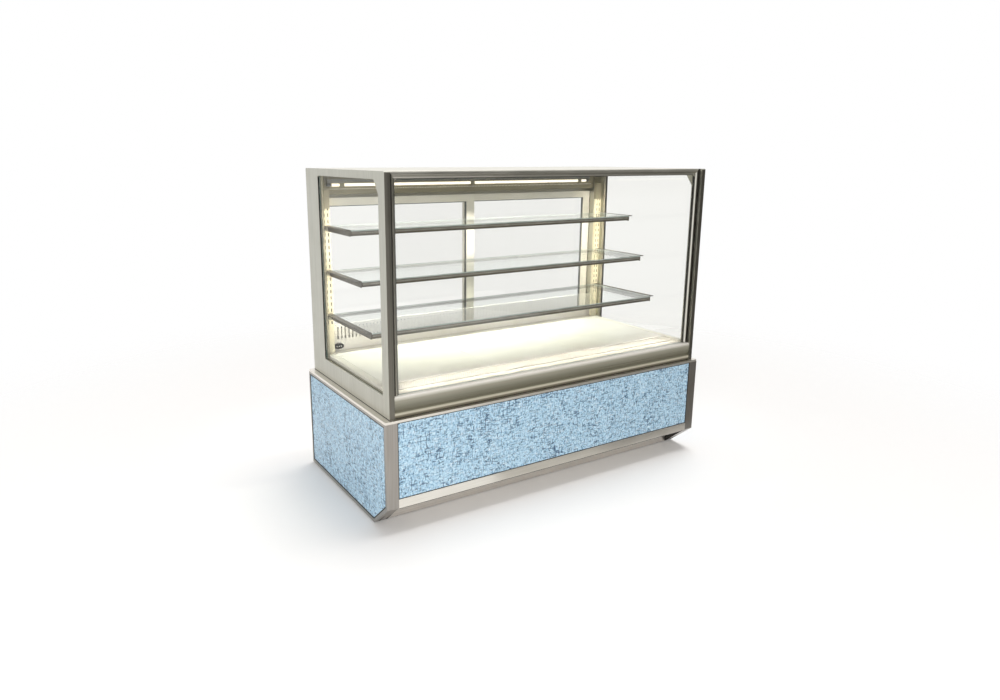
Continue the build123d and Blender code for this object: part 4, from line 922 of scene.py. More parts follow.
@dataclass
class BaseCabinet:
    """The laminate-faced base with its posts, trims, toe kick, feet and rear panel."""

    finishes: Finishes
    front: float = -367.0
    panel_out: float = 748.0
    low: float = 3.0
    top: float = 404.0
    lip_y: float = -355.0
    lip_z: float = 102.0
    lip_foot_y: float = -239.0
    edge_top: float = 395.0
    edge_rear: float = 359.0
    edge_floor: float = 15.0
    bead: float = 3.0
    end_bead: float = 5.0
    post_in: float = 705.0
    panel_y: float = -365.0
    trim_top: float = 126.0
    recess_top_y: Limits = (-361.0, -256.0)
    recess_foot_y: Limits = (-262.0, -256.0)
    recess_z: Limits = (6.0, 92.5)
    shade_sheet_x: Tuple[Limits, ...] = ((704.0, 704.6), (732.2, 732.8))
    shadow_z: Limits = (91.2, 92.9)
    foot_x: Limits = (-660.0, 660.0)
    foot_y: Limits = (-228.0, 335.0)
    thread_foot: float = 8.0
    thread_pitch: float = 1.5
    thread_turns: int = 14
    nut_radius: float = 10.5
    nut_z: Limits = (23.5, 29.7)
    panel_back: float = 352.0
    louvre_middle: Flat = (-20.0, 170.0)
    louvre_pitch: Flat = (130.0, 16.0)
    louvre_columns: int = 4
    louvre_rows: int = 12
    louvre_half: float = 55.0
    louvre_out: float = 4.6
    louvre_steps: int = 8
    screw_x: Tuple[float, ...] = (-715.0, -240.0, 240.0, 715.0)
    screw_z: Limits = (45.0, 389.0)

    def end_outline(self) -> List[Flat]:
        """The laminate's visible outline on an end.

        Returns:
            Corners as (y, z).
        """
        slope = (self.lip_foot_y - self.lip_y) / (self.lip_z - self.low)
        foot_y = self.lip_foot_y - (self.edge_floor - self.low) * slope
        return [
            (self.lip_y, self.edge_top),
            (self.lip_y, self.lip_z),
            (foot_y, self.edge_floor),
            (self.edge_rear, self.edge_floor),
            (self.edge_rear, self.edge_top),
        ]

    def beads(self) -> None:
        """Thin dark beads round the laminate faces, painted shade of the recess between the laminate and its
        edging and posts.
        """
        kit = Kit()
        outer = self.end_outline()
        inner = inset(outer, self.end_bead)
        for side in (-1, 1):
            rings = []
            for outline, x in ((outer, 0.1), (outer, 0.9), (inner, 0.6), (inner, 0.1)):
                rings.append([(side * (self.panel_out + x), y, z) for y, z in outline])
            kit.loft(rings, caps=False, looped=True)
        wide = rectangle((-self.post_in, self.post_in), (self.trim_top, self.top))
        narrow = inset(wide, self.bead)
        rings = []
        for outline, y in ((wide, 0.1), (wide, 1.0), (narrow, 0.7), (narrow, 0.1)):
            rings.append([(x, self.panel_y - y, z) for x, z in outline])
        kit.loft(rings, caps=False, looped=True)
        kit.piece("laminate_shade_beads", "cabinet", self.finishes.rubber)

    def recess(self) -> None:
        """Dark sheets of painted shade on the inner sides of the toe recess, and a dark bead of painted
        shadow under the trim.
        """
        kit = Kit()
        low, high = self.recess_z
        outline = [(self.recess_top_y[0], high), (self.recess_top_y[1], high)]
        outline += [(self.recess_foot_y[1], low), (self.recess_foot_y[0], low)]
        for near, far in self.shade_sheet_x:
            for side in (-1, 1):
                kit.prism(outline, Axis.X, mirrored(side, near, far))
        across = (-self.post_in, self.post_in)
        kit.block(across, (self.front + 0.6, self.front + 3.0), self.shadow_z, 0.2)
        kit.piece("toe_recess_painted_shade", "cabinet", self.finishes.rubber)

    def feet(self) -> None:
        """Threaded levelling feet with hex nuts and dished pads."""
        kit = Kit()
        pad = [(0.5, 0.0), (23.0, 0.0), (25.0, 1.5), (25.0, 4.0), (22.0, 5.5), (11.0, 8.0), (0.5, 8.0)]
        thread = [(0.5, 7.0)]
        for turn in range(self.thread_turns):
            rise = self.thread_foot + turn * self.thread_pitch
            thread += [(5.0, rise), (6.0, rise + self.thread_pitch / 2 - 0.05)]
        thread += [(5.0, 29.6), (0.5, 29.8)]
        nut = arc((0.0, 0.0), self.nut_radius, 0.0, 300.0, 5)
        for x in self.foot_x:
            for y in self.foot_y:
                kit.lathe(pad, (x, y, 0.0), Axis.Z, 32)
                kit.lathe(thread, (x, y, 0.0), Axis.Z, 20)
                kit.prism([(x + u, y + v) for u, v in nut], Axis.Z, self.nut_z)
        kit.piece(
            "threaded_levelling_feet", "cabinet", self.finishes.bolt_zinc, ["levelling_feet"]
        )

    def louvre(self, middle: float, z: float) -> List[Ring]:
        """One pressed hood, open along its lower edge.

        Args:
            middle: its middle along X.
            z: its height.

        Returns:
            The rings of the hood, from its left end to its right.
        """
        rings = []
        for i in range(self.louvre_steps + 1):
            share = i / self.louvre_steps
            x = middle - self.louvre_half + 2 * self.louvre_half * share
            lift = math.sin(math.pi * share) ** 0.35 if 0 < share < 1 else 0.0
            out = self.panel_back + 0.2 + self.louvre_out * lift
            ring = [(x, self.panel_back + 0.1, z + 3.6), (x, out, z - 2.2)]
            ring += [(x, out - 0.8 * lift, z - 2.8), (x, self.panel_back + 0.05, z + 2.6)]
            rings.append(ring)
        return rings

    def louvres(self) -> None:
        """Pressed hoods over the slots of the rear panel."""
        kit = Kit()
        for column in range(self.louvre_columns):
            across = (column - (self.louvre_columns - 1) / 2) * self.louvre_pitch[0]
            for row in range(self.louvre_rows):
                up = (row - (self.louvre_rows - 1) / 2) * self.louvre_pitch[1]
                kit.loft(self.louvre(self.louvre_middle[0] + across, self.louvre_middle[1] + up))
        kit.piece("pressed_louvre_hoods", "cabinet", self.finishes.zinc)

    def screws(self) -> None:
        """Pan head screws with a cross recess."""
        kit = Kit()
        spots = [(x, z) for x in self.screw_x for z in self.screw_z]
        dome = [(2.0, -6.0), (2.0, 0.0), (5.0, 0.02), (5.0, 0.7), (4.2, 1.5), (2.6, 2.0), (0.3, 2.1)]
        for x, z in spots:
            kit.lathe(dome, (x, self.panel_back, z), Axis.Y, 24)
        kit.slot = 1
        depth = (self.panel_back + 1.4, self.panel_back + 2.15)
        for x, z in spots:
            for wide, tall in ((2.4, 0.45), (0.45, 2.4)):
                kit.block((x - wide, x + wide), depth, (z - tall, z + tall), 0.1)
        kit.piece(
            "cross_recess_screws",
            "cabinet",
            [self.finishes.bolt_zinc, self.finishes.rubber],
            ["service_panel_screws"],
        )

    def build(self) -> None:
        """Dress the base's nodes and add its fine parts."""
        f = self.finishes
        dress("end_panel_left", f.laminate, 0.4)
        dress("end_panel_right", f.laminate, 0.4)
        dress("front_laminate_panel", f.laminate, 0.4)
        dress("corner_posts", f.steel_upright, 1.0)
        dress("end_panel_edging", f.steel_edge, 0.4)
        dress("base_top_trim", f.trim_painted_light, 2.6)
        dress("base_bottom_trim", f.trim_painted_light, 0.5)
        dress("toe_kick", f.toe_kick_painted_light, 0.5)
        dress("rear_service_panel", f.zinc, 0.3)
        dress("chassis_frame", f.zinc, 1.2)
        dress("base_floor_pan", f.zinc, 0.4)
        self.beads()
        self.recess()
        self.feet()
        self.louvres()
        self.screws()


@dataclass
class UpperCabinet:
    """End frames, roof, header, rear wall and the lower front rail."""

    finishes: Finishes
    cabinet_x: float = 728.0
    inside_x: float = 708.0
    front: float = -355.0
    back: float = 357.0
    foot: float = 413.0
    height: float = 1228.0
    window_rear: float = 229.0
    lip_z: Limits = (491.5, 1197.5)
    header_y: float = 304.0
    button_x: float = 690.0
    button_z: float = 1147.0
    button_pitch: float = 8.0
    strip_section: Tuple[Flat, ...] = (
        (708.4, 0.0),
        (708.4, 0.5),
        (709.2, 1.0),
        (725.4, 1.0),
        (727.2, 0.5),
        (727.8, -0.6),
        (727.8, 0.0),
    )

    def foot_shade_bead(self) -> None:
        """A thin dark bead where the end frames stand on the base, and one under the front rail, painted
        shade of these joints.
        """
        kit = Kit()
        low = self.foot - 0.05
        for side in (-1, 1):
            x = mirrored(side, self.cabinet_x - 1.0, self.cabinet_x + 0.7)
            kit.block(x, (self.front - 0.6, self.back + 0.4), (low, self.foot + 1.8), 0.3)
        across = (-self.inside_x, self.inside_x)
        kit.block(across, (self.front + 5.2, self.front + 7.0), (low, self.foot + 1.6), 0.3)
        kit.piece("cabinet_foot_seal", "cabinet", self.finishes.rubber)

    def edge_strips(self) -> None:
        """Dark strips down the front edges of the end frames, painted shade of their front faces."""
        kit = Kit()
        for side in (-1, 1):
            rings = []
            for z in (self.foot + 2.2, self.height - 3.6):
                rings.append([(side * x, self.front - out, z) for x, out in self.strip_section])
            kit.loft(rings)
        kit.piece("end_frame_edge_strips", "cabinet", self.finishes.front_edge_painted_shade)

    def window_lips(self) -> None:
        """Lips down the rear edge of each end window: a pale rubber lip inside the pane, and a dark lip
        outside that is painted shade of the gap behind the window's rear edge.
        """
        kit = Kit()
        for side in (-1, 1):
            x = mirrored(side, self.inside_x + 0.2, self.inside_x + 5.8)
            kit.slot = 1
            kit.block(x, (self.window_rear - 1.4, self.window_rear + 0.1), self.lip_z, 0.4)
            kit.slot = 0
            x = mirrored(side, self.cabinet_x - 5.6, self.cabinet_x - 0.4)
            kit.block(x, (self.window_rear - 1.2, self.window_rear + 0.1), self.lip_z, 0.4)
        kit.piece("window_rear_lips", "cabinet", [self.finishes.rubber, self.finishes.pale_rubber])

    def buttons(self) -> None:
        """A row of small pressed buttons along the front of the header."""
        kit = Kit()
        count = int(2 * self.button_x / self.button_pitch)
        for i in range(count + 1):
            x = -self.button_x + i * self.button_pitch
            dome = [(1.9, 0.1), (1.9, -0.3), (1.2, -0.9), (0.3, -1.1)]
            kit.lathe(dome, (x, self.header_y, self.button_z), Axis.Y, 8)
        kit.piece("header_pressed_buttons", "cabinet", self.finishes.cream)

    def build(self) -> None:
        """Dress the cabinet's nodes and add its foot bead, strips, lips and buttons."""
        f = self.finishes
        dress("end_frame_left", f.frame_upright, 1.6)
        dress("end_frame_right", f.frame_upright, 1.6)
        dress("lower_front_rail", f.rail_coat, 1.0)
        dress("top_panel", f.roof_cream, 1.0)
        dress("rear_header", f.header_taupe, 0.8)
        dress("rear_wall", f.cream, 0.8)
        dress("insulated_tub", f.foam, 0.8)
        dress("end_glass_panes", f.end_glass, 0.0)
        dress("end_glass_gaskets", f.pale_rubber, 0.3)
        self.foot_shade_bead()
        self.edge_strips()
        self.window_lips()
        self.buttons()


@dataclass
class FrontGlass:
    """The lift-up front: mitred frame, glazing beads and pane."""

    finishes: Finishes
    outer_x: float = 705.4
    low: float = 491.5
    top: float = 1228.0
    stile: float = 20.0
    rail: float = 24.0
    front: float = -341.5
    deep: float = 17.5
    hinge_radius: float = 6.0
    mitre_gap: float = 0.15
    gusset: float = 9.0
    buffer_z: Limits = (490.15, 491.6)

    def section(self) -> List[Flat]:
        """The frame's cross-section: share of its width from outside to inside, and depth from the front.

        Returns:
            Section points in order.
        """
        return [
            (0.0, self.deep),
            (0.0, 2.0),
            (0.04, 0.6),
            (0.11, 0.0),
            (0.42, 0.0),
            (0.47, 0.3),
            (0.54, 1.2),
            (0.62, 2.7),
            (0.7, 4.1),
            (0.78, 5.0),
            (0.97, 5.0),
            (1.0, 5.2),
            (1.0, 5.4),
            (0.6, 5.4),
            (0.6, 11.6),
            (1.0, 11.6),
            (1.0, 16.7),
            (0.96, self.deep),
        ]

    def corner(self, side: int, share: float, depth: float, top: bool) -> Point:
        """A point of the frame at its foot or at its mitre.

        Args:
            side: -1 left, 1 right.
            share: part of the way across the section.
            depth: distance behind the front face.
            top: at the mitre rather than the foot.

        Returns:
            The point.
        """
        x = side * (self.outer_x - share * self.stile)
        z = self.top - share * self.rail if top else self.low
        return (x, self.front + depth, z)

    def members(self) -> None:
        """Two stiles and a top rail, mitred with a hairline gap, with gussets and a hinge barrel."""
        kit = Kit()
        gap = self.mitre_gap
        # Stiles: outer front faces in painted shade, bevels in a painted highlight, and the other faces in a
        # lighter painted shade.
        slots = [2] * 5 + [3] * 4 + [0] * (len(self.section()) - 9)
        for side in (-1, 1):
            foot = [self.corner(side, s, d, False) for s, d in self.section()]
            head = [self.corner(side, s, d, True) for s, d in self.section()]
            kit.loft([foot, [(x, y, z - gap) for x, y, z in head]], slots=slots)
        # Gussets in the painted highlight.
        kit.slot = 3
        inner, below = self.outer_x - self.stile, self.top - self.rail
        for side in (-1, 1):
            gusset = ((inner, below), (inner - self.gusset, below), (inner, below - self.gusset))
            kit.prism([(side * u, v) for u, v in gusset], Axis.Y, (self.front + 4.2, self.front + 5.2))
        kit.slot = 1
        # Top rail: its bevel in painted shade.
        across = [1] * 5 + [4] * 4 + [1] * (len(self.section()) - 9)
        ends = []
        for side in (-1, 1):
            head = [self.corner(side, s, d, True) for s, d in self.section()]
            ends.append([(x - side * gap, y, z) for x, y, z in head])
        kit.loft(ends, slots=across)
        back = self.front + self.deep
        turn = arc((back, self.top - self.hinge_radius), self.hinge_radius, 90, 0, 8)
        barrel = [(back - 0.2, below), (back - 0.2, self.top), *turn, (back + self.hinge_radius, below)]
        kit.prism(barrel, Axis.X, (-self.outer_x, self.outer_x))
        kit.piece(
            "mitred_front_frame",
            "front_glass",
            [
                self.finishes.frame_painted_shade,
                self.finishes.frame_across,
                self.finishes.stile_painted_shade,
                self.finishes.stile_painted_highlight,
                self.finishes.rail_bevel_painted_shade,
            ],
            ["front_glass_frame"],
        )

    def glazing(self) -> None:
        """Rubber beads along both faces of the pane, and buffers under the stiles."""
        kit = Kit()
        x = self.outer_x - self.stile
        top = self.top - self.rail
        for y, out in ((5.5, -0.9), (11.5, 0.9)):
            rings = []
            for side, z in ((-1, self.low + 0.1), (-1, top), (1, top), (1, self.low + 0.1)):
                ring = []
                for reach, rise in ((-0.3, 0.0), (-0.3, 1.0), (0.9, 0.7), (1.4, 0.0)):
                    ring.append(
                        (side * (x - reach), self.front + y + out * rise, z - (reach if z == top else 0.0))
                    )
                rings.append(ring)
            kit.loft(rings)
        for side in (-1, 1):
            span = mirrored(side, self.outer_x - 1.0, self.outer_x - self.stile + 1.0)
            kit.block(span, (self.front + 6.0, self.front + self.deep - 1.0), self.buffer_z, 0.3)
        kit.piece("front_glazing_beads", "front_glass", self.finishes.rubber)

    def build(self) -> None:
        """Build the frame and dress the pane and pins."""
        self.members()
        self.glazing()
        dress("front_glass_pane", self.finishes.front_glass, 0.0)
        dress("front_glass_hinge_pins", self.finishes.bolt_zinc, 0.4)


@dataclass
class AirAndDeck:
    """Deck pans, the perforated return grille, the air outlet panel and the thermometer."""

    finishes: Finishes
    deck_x: float = 681.0
    grille_y: Limits = (-286.0, -231.0)
    grille_low: float = 490.0
    grille_thick: float = 2.0
    margin: float = 5.0
    pitch: Flat = (9.0, 7.6)
    hole: Flat = (3.1, 2.9)
    dial: Flat = (-648.0, 516.0)
    dial_half: Flat = (21.0, 12.0)
    dial_steps: int = 48
    bead_pitch: float = 9.0
    dial_profile: Tuple[Flat, ...] = (
        (0.0, 286.0),
        (0.0, 279.6),
        (0.7, 278.0),
        (2.2, 277.2),
        (3.4, 277.6),
        (3.8, 278.8),
        (10.0, 278.8),
    )

    def grille(self) -> None:
        """A perforated sheet folded down along its long edges."""
        kit = Kit()
        top = self.grille_low + 4.0
        y = (self.grille_y[0] + self.margin, self.grille_y[1] - self.margin)
        perforated(
            kit,
            (-self.deck_x + self.margin, self.deck_x - self.margin),
            y,
            self.pitch,
            self.hole,
            lambda u, v, h: (u, v, top - self.grille_thick + h),
            self.grille_thick,
        )
        across = (-self.deck_x, self.deck_x)
        kit.block(across, (self.grille_y[0], y[0]), (self.grille_low + 0.1, top), 0.8)
        kit.block(across, (y[1], self.grille_y[1]), (self.grille_low + 0.1, top), 0.8)
        for side in (-1, 1):
            span = mirrored(side, self.deck_x, self.deck_x - self.margin)
            kit.block(span, (y[0] - 0.5, y[1] + 0.5), (self.grille_low + 0.1, top), 0.8)
        kit.piece(
            "perforated_air_grille", "cabinet", self.finishes.grille_steel, ["front_air_grille"]
        )

    def thermometer(self) -> None:
        """An oval case with a sunk face and three small white beads."""
        kit = Kit()
        x0, z0 = self.dial
        rings = []
        for shrink, y in self.dial_profile:
            ring = []
            for i in range(self.dial_steps):
                turn = 2 * math.pi * i / self.dial_steps
                x = x0 + (self.dial_half[0] - shrink) * math.cos(turn)
                ring.append((x, y, z0 + (self.dial_half[1] - shrink) * math.sin(turn)))
            rings.append(ring)
        kit.loft(rings)
        kit.slot = 1
        dome = [(2.2, 0.2), (2.2, -0.8), (1.5, -1.4), (0.3, -1.6)]
        for shift in (-self.bead_pitch, 0.0, self.bead_pitch):
            kit.lathe(dome, (x0 + shift, self.dial_profile[-1][1], z0), Axis.Y, 16)
        kit.piece(
            "oval_thermometer",
            "cabinet",
            [self.finishes.black_plastic, self.finishes.white_plastic],
            ["thermometer"],
        )

    def build(self) -> None:
        """Dress the deck and add the fine parts."""
        f = self.finishes
        dress("deck_pans", f.cream, 1.2)
        dress("rear_air_panel", f.cream, 0.3)
        self.grille()
        self.thermometer()


@dataclass
class Shelving:
    """Uprights, three glass shelves on frames, and their light strips."""

    finishes: Finishes
    tops: Tuple[float, float, float] = (1012.0, 837.0, 662.0)
    fronts: Tuple[float, float, float] = (28.0, -57.0, -132.0)
    strip_x: float = 650.0
    rail_low: float = 22.0
    dash_pitch: float = 9.0
    upright_x: Limits = (679.5, 706.5)
    upright_y: float = 253.5
    upright_z: Limits = (500.0, 1148.0)
    cover_z: Limits = (1076.0, 1149.6)
    face_over: float = 30.0
    face_drop: Limits = (15.5, 7.2)
    dash_drop: float = 11.5
    dash_half: Flat = (2.4, 1.3)
    cover_fold: Tuple[Flat, ...] = (
        (677.2, 248.2),
        (707.6, 248.2),
        (707.6, 249.0),
        (678.0, 249.0),
        (678.0, 265.0),
        (677.2, 265.0),
    )

    def strips(self) -> None:
        """Half round light strips under the shelf rails."""
        kit = Kit()
        for top, front in zip(self.tops, self.fronts):
            low = top - self.rail_low
            lens = arc((front + 8.5, low + 1.7), 3.3, 180, 360, 10)
            outline = [(u, max(v, low + 0.15)) for u, v in lens]
            outline += [(front + 11.8, low + 2.8), (front + 5.2, low + 2.8)]
            kit.prism(outline, Axis.X, (-self.strip_x, self.strip_x))
        kit.piece("shelf_light_strips", "cabinet", self.finishes.diffuser, ["shelf_led_strips"])

    def face_strips(self) -> None:
        """Pale strips along the upper half of the shelf rails, with rounded ends."""
        kit = Kit()
        across = (-self.strip_x - self.face_over, self.strip_x + self.face_over)
        for top, front in zip(self.tops, self.fronts):
            upright = (top - self.face_drop[0], top - self.face_drop[1])
            kit.block(across, (front + 0.2, front + 1.1), upright, 0.3)
        kit.piece("shelf_rail_face_strips", "cabinet", self.finishes.rail_grey)

    def slot_painted_shade(self) -> None:
        """Dark plates inside the uprights, painted shade seen through their slots."""
        kit = Kit()
        for side in (-1, 1):
            x = mirrored(side, *self.upright_x)
            kit.block(x, (self.upright_y, self.upright_y + 1.0), self.upright_z, 0.0)
        kit.piece("upright_slot_backing", "cabinet", self.finishes.rubber)

    def top_covers(self) -> None:
        """Folded cover plates over the tops of the uprights, above the first slots, in a darker taupe that is
        painted shade under the header.
        """
        kit = Kit()
        for side in (-1, 1):
            kit.prism([(side * x, y) for x, y in self.cover_fold], Axis.Z, self.cover_z)
        kit.piece("upright_top_covers", "cabinet", self.finishes.header_taupe)

    def dashes(self) -> None:
        """Short pressed dashes along the shelf rails."""
        kit = Kit()
        count = int(2 * self.strip_x / self.dash_pitch)
        wide, tall = self.dash_half
        for top, front in zip(self.tops, self.fronts):
            z = top - self.dash_drop
            for i in range(count):
                x = -self.strip_x + (i + 0.5) * self.dash_pitch
                kit.block((x - wide, x + wide), (front - 0.1, front + 0.6), (z - tall, z + tall), 0.0)
        kit.piece("shelf_rail_dashes", "cabinet", self.finishes.strip_grey)

    def build(self) -> None:
        """Dress the shelves and add the fine parts."""
        f = self.finishes
        dress("shelf_uprights", f.upright_cream, 0.4)
        for number in (1, 2, 3):
            dress(f"shelf_{number}_frame", f.taupe, 0.6)
            dress(f"shelf_{number}_glass", f.shelf_glass, 0.0)
        self.strips()
        self.face_strips()
        self.dashes()
        self.top_covers()
        self.slot_painted_shade()


@dataclass
class CanopyLamp:
    """The lamp tube under the header, its end caps and its channel."""

    finishes: Finishes
    y: float = 297.0
    z: float = 1163.0
    radius: float = 6.0
    half: float = 666.0
    cap: float = 18.0
    face_rise: Limits = (9.0, 23.0)
    face_y: float = 8.2
    slot_pitch: Flat = (8.0, 7.0)
    slot_half: Flat = (2.9, 1.9)
    sheet: float = 0.5

    def tube(self) -> None:
        """A frosted tube with metal end caps."""
        kit = Kit()
        centre = (0.0, self.y, self.z)
        r = self.radius - 0.1
        end = self.half - self.cap
        kit.lathe([(0.2, -end), (r - 0.4, -end), (r - 0.4, end), (0.2, end)], centre, Axis.X, 32)
        kit.slot = 1
        seat = end - 0.6
        cap = [(0.2, self.half), (r - 1.2, self.half), (r, self.half - 1.2)]
        cap += [(r, end + 2.0), (r - 0.6, seat), (0.2, seat)]
        for side in (-1, 1):
            kit.lathe([(out, side * along) for out, along in cap], centre, Axis.X, 32)
        finishes = [self.finishes.lamp, self.finishes.bolt_zinc]
        kit.piece("frosted_lamp_tube", "cabinet", finishes, ["lamp_tube"])

    def channel_face(self) -> None:
        """A slotted strip along the front of the lamp channel."""
        kit = Kit()
        perforated(
            kit,
            (-self.half, self.half),
            (self.z + self.face_rise[0], self.z + self.face_rise[1]),
            self.slot_pitch,
            self.slot_half,
            lambda u, v, h: (u, self.y - self.face_y - h, v),
            self.sheet,
        )
        kit.piece("slotted_channel_face", "cabinet", self.finishes.zinc)

    def build(self) -> None:
        """Dress the channel and build the lamp."""
        dress("lamp_channel", self.finishes.header_taupe, 0.4)
        self.tube()
        self.channel_face()


@dataclass
class RearDoors:
    """Two sliding doors in their tracks."""

    finishes: Finishes
    low: float = 543.4
    top: float = 1121.6
    stile: float = 40.0
    bead: float = 3.0
    spans: Tuple[Limits, Limits] = ((-706.0, 20.0), (-20.0, 706.0))
    lanes: Tuple[Limits, Limits] = ((308.0, 324.0), (330.0, 346.0))

    def beads(self) -> None:
        """Glazing beads round both faces of each door pane."""
        for name, x, y in zip(("left", "right"), self.spans, self.lanes):
            kit = Kit()
            upright = (self.low + self.stile, self.top - self.stile)
            inner = rectangle((x[0] + self.stile, x[1] - self.stile), upright)
            close = inset(inner, self.bead)
            middle = (y[0] + y[1]) / 2
            for way in (-1, 1):
                rings = []
                for outline, depth in ((inner, 2.6), (inner, 5.6), (close, 4.4), (close, 2.6)):
                    rings.append([(u, middle + way * depth, v) for u, v in outline])
                kit.loft(rings, caps=False, looped=True)
            kit.piece(f"door_glazing_beads_{name}", f"rear_door_{name}", self.finishes.grey_plastic)

    def build(self) -> None:
        """Dress the doors and tracks."""
        f = self.finishes
        dress("door_tracks", f.frame_across, 0.3)
        for name in ("left", "right"):
            dress(f"rear_door_{name}_frame", f.door_cream, 0.8)
            dress(f"rear_door_{name}_glass", f.front_glass, 0.0)
        self.beads()


@dataclass
class Controls:
    """The thermostat knob with its dial plate, and the light switch."""

    finishes: Finishes
    knob: Flat = (560.0, 478.0)
    switch: Flat = (620.0, 478.0)
    face: float = 352.0
    knob_radius: float = 17.0
    knob_steps: int = 72
    flute: float = 0.5
    grip_half: Flat = (4.0, 14.5)
    pointer_half: float = 0.7
    pointer_reach: Limits = (4.0, 13.0)
    scale_radii: Limits = (21.0, 24.0)
    scale_marks: int = 10
    scale_start: float = 225.0
    scale_step: float = 30.0
    rocker_y: float = 349.0
    rocker_tilt: float = 8.0
    rocker_half: float = 12.0

    def turning_knob(self) -> None:
        """A fluted knob with a grip bar and a white pointer."""
        kit = Kit()
        x0, z0 = self.knob
        rings = []
        for shrink, y in ((0.0, 0.6), (0.0, 4.5), (0.8, 6.0), (2.0, 6.6)):
            ring = []
            for i in range(self.knob_steps):
                turn = 2 * math.pi * i / self.knob_steps
                r = self.knob_radius - shrink - (self.flute if i % 4 < 2 else 0.0)
                ring.append((x0 + r * math.cos(turn), self.face + y, z0 + r * math.sin(turn)))
            rings.append(ring)
        kit.loft(rings)
        wide, tall = self.grip_half
        kit.block((x0 - wide, x0 + wide), (self.face + 6.0, self.face + 12.4), (z0 - tall, z0 + tall), 1.6)
        kit.lathe([(2.98, -16.0), (2.98, 1.0)], (x0, self.face, z0), Axis.Y, 24)
        kit.slot = 1
        across = (x0 - self.pointer_half, x0 + self.pointer_half)
        upright = (z0 + self.pointer_reach[0], z0 + self.pointer_reach[1])
        kit.block(across, (self.face + 12.2, self.face + 12.5), upright, 0.1)
        kit.piece(
            "fluted_thermostat_knob",
            "thermostat_knob",
            [self.finishes.black_plastic, self.finishes.white_plastic],
            ["thermostat_knob"],
        )

    def dial_plate(self) -> None:
        """A ring of raised scale marks round the knob."""
        kit = Kit()
        x0, z0 = self.knob
        for i in range(self.scale_marks):
            turn = math.radians(self.scale_start - self.scale_step * i)
            for radius in self.scale_radii:
                x, z = x0 + radius * math.cos(turn), z0 + radius * math.sin(turn)
                kit.lathe([(0.9, 0.0), (0.9, 0.35), (0.3, 0.5)], (x, self.face - 0.02, z), Axis.Y, 10)
        kit.piece("thermostat_scale_marks", "cabinet", self.finishes.black_plastic)

    def rocker(self) -> None:
        """A rocker with a waisted face, tilted to its rest position."""
        kit = Kit()
        x0, z0 = self.switch
        half = self.rocker_half
        tilt = math.radians(self.rocker_tilt)
        face = []
        for step in range(11):
            v = -half + half / 5 * step
            face.append((2.0 + 2.0 * (v / half) ** 2, v))
        outline = [(-6.0, -10.0), *face, (-6.0, 10.0)]
        rings = []
        for reach, shrink in ((-7.5, 0.4), (-7.0, 0.0), (7.0, 0.0), (7.5, 0.4)):
            ring = []
            for out, v in outline:
                u = out - shrink
                y = self.rocker_y + u * math.cos(tilt) - v * math.sin(tilt)
                ring.append((x0 + reach, y, z0 + u * math.sin(tilt) + v * math.cos(tilt)))
            rings.append(ring)
        kit.loft(rings)
        black = self.finishes.black_plastic
        kit.piece("waisted_light_rocker", "light_switch", black, ["light_switch_rocker"])

    def build(self) -> None:
        """Build the controls."""
        self.turning_knob()
        self.dial_plate()
        self.rocker()


@dataclass
class Fan:
    """An axial fan with curved, twisted blades."""

    centre: Point
    radius: float
    hub: float
    bore: float
    blades: int = 5
    depth: float = 16.0
    sweep: float = 0.22
    camber: float = 1.6
    sections: int = 8
    chord_steps: int = 6

    def blade_ring(self, start: float, share: float) -> Ring:
        """One section of a blade.

        Args:
            start: where the blade stands round the hub, in radians.
            share: part of the way from the hub to the tip.

        Returns:
            The section's points, along one face and back along the other.
        """
        half = self.depth / 2
        radius = self.hub - 1.5 + (self.radius - self.hub + 1.2) * share
        wide = 0.42 + 0.2 * share - 0.24 * share**3
        slope = math.tan(math.radians(38 - 16 * share)) * 0.55
        steps = list(range(self.chord_steps + 1))
        ring = []
        for side, order in ((1, steps), (-1, steps[::-1])):
            for k in order:
                way = (k / self.chord_steps - 0.5) * 2
                turn = start + self.sweep * share + way * wide
                thick = side * 0.6 * (1.05 - abs(way))
                rise = way * wide * radius * slope + self.camber * (1 - way * way) + thick
                rise = max(-half, min(half, rise))
                x = self.centre[0] + radius * math.cos(turn)
                ring.append((x, self.centre[1] + rise, self.centre[2] + radius * math.sin(turn)))
        return ring

    def build(self, name: str, body: str, node: str, finish: Material) -> None:
        """Build the fan.

        Args:
            name: name of the piece.
            body: CAD body it rides on.
            node: CAD node it stands for.
            finish: its material.
        """
        kit = Kit()
        half = self.depth / 2
        hub = [(self.bore, half), (self.hub - 2.0, half), (self.hub, half - 2.0), (self.hub, -half + 0.5)]
        hub += [(self.hub - 1.5, -half), (self.bore, -half), (self.bore, half)]
        kit.lathe(hub, self.centre, Axis.Y, 36)
        for blade in range(self.blades):
            start = 2 * math.pi * blade / self.blades
            kit.loft([self.blade_ring(start, i / self.sections) for i in range(self.sections + 1)])
        kit.piece(name, body, finish, [node])


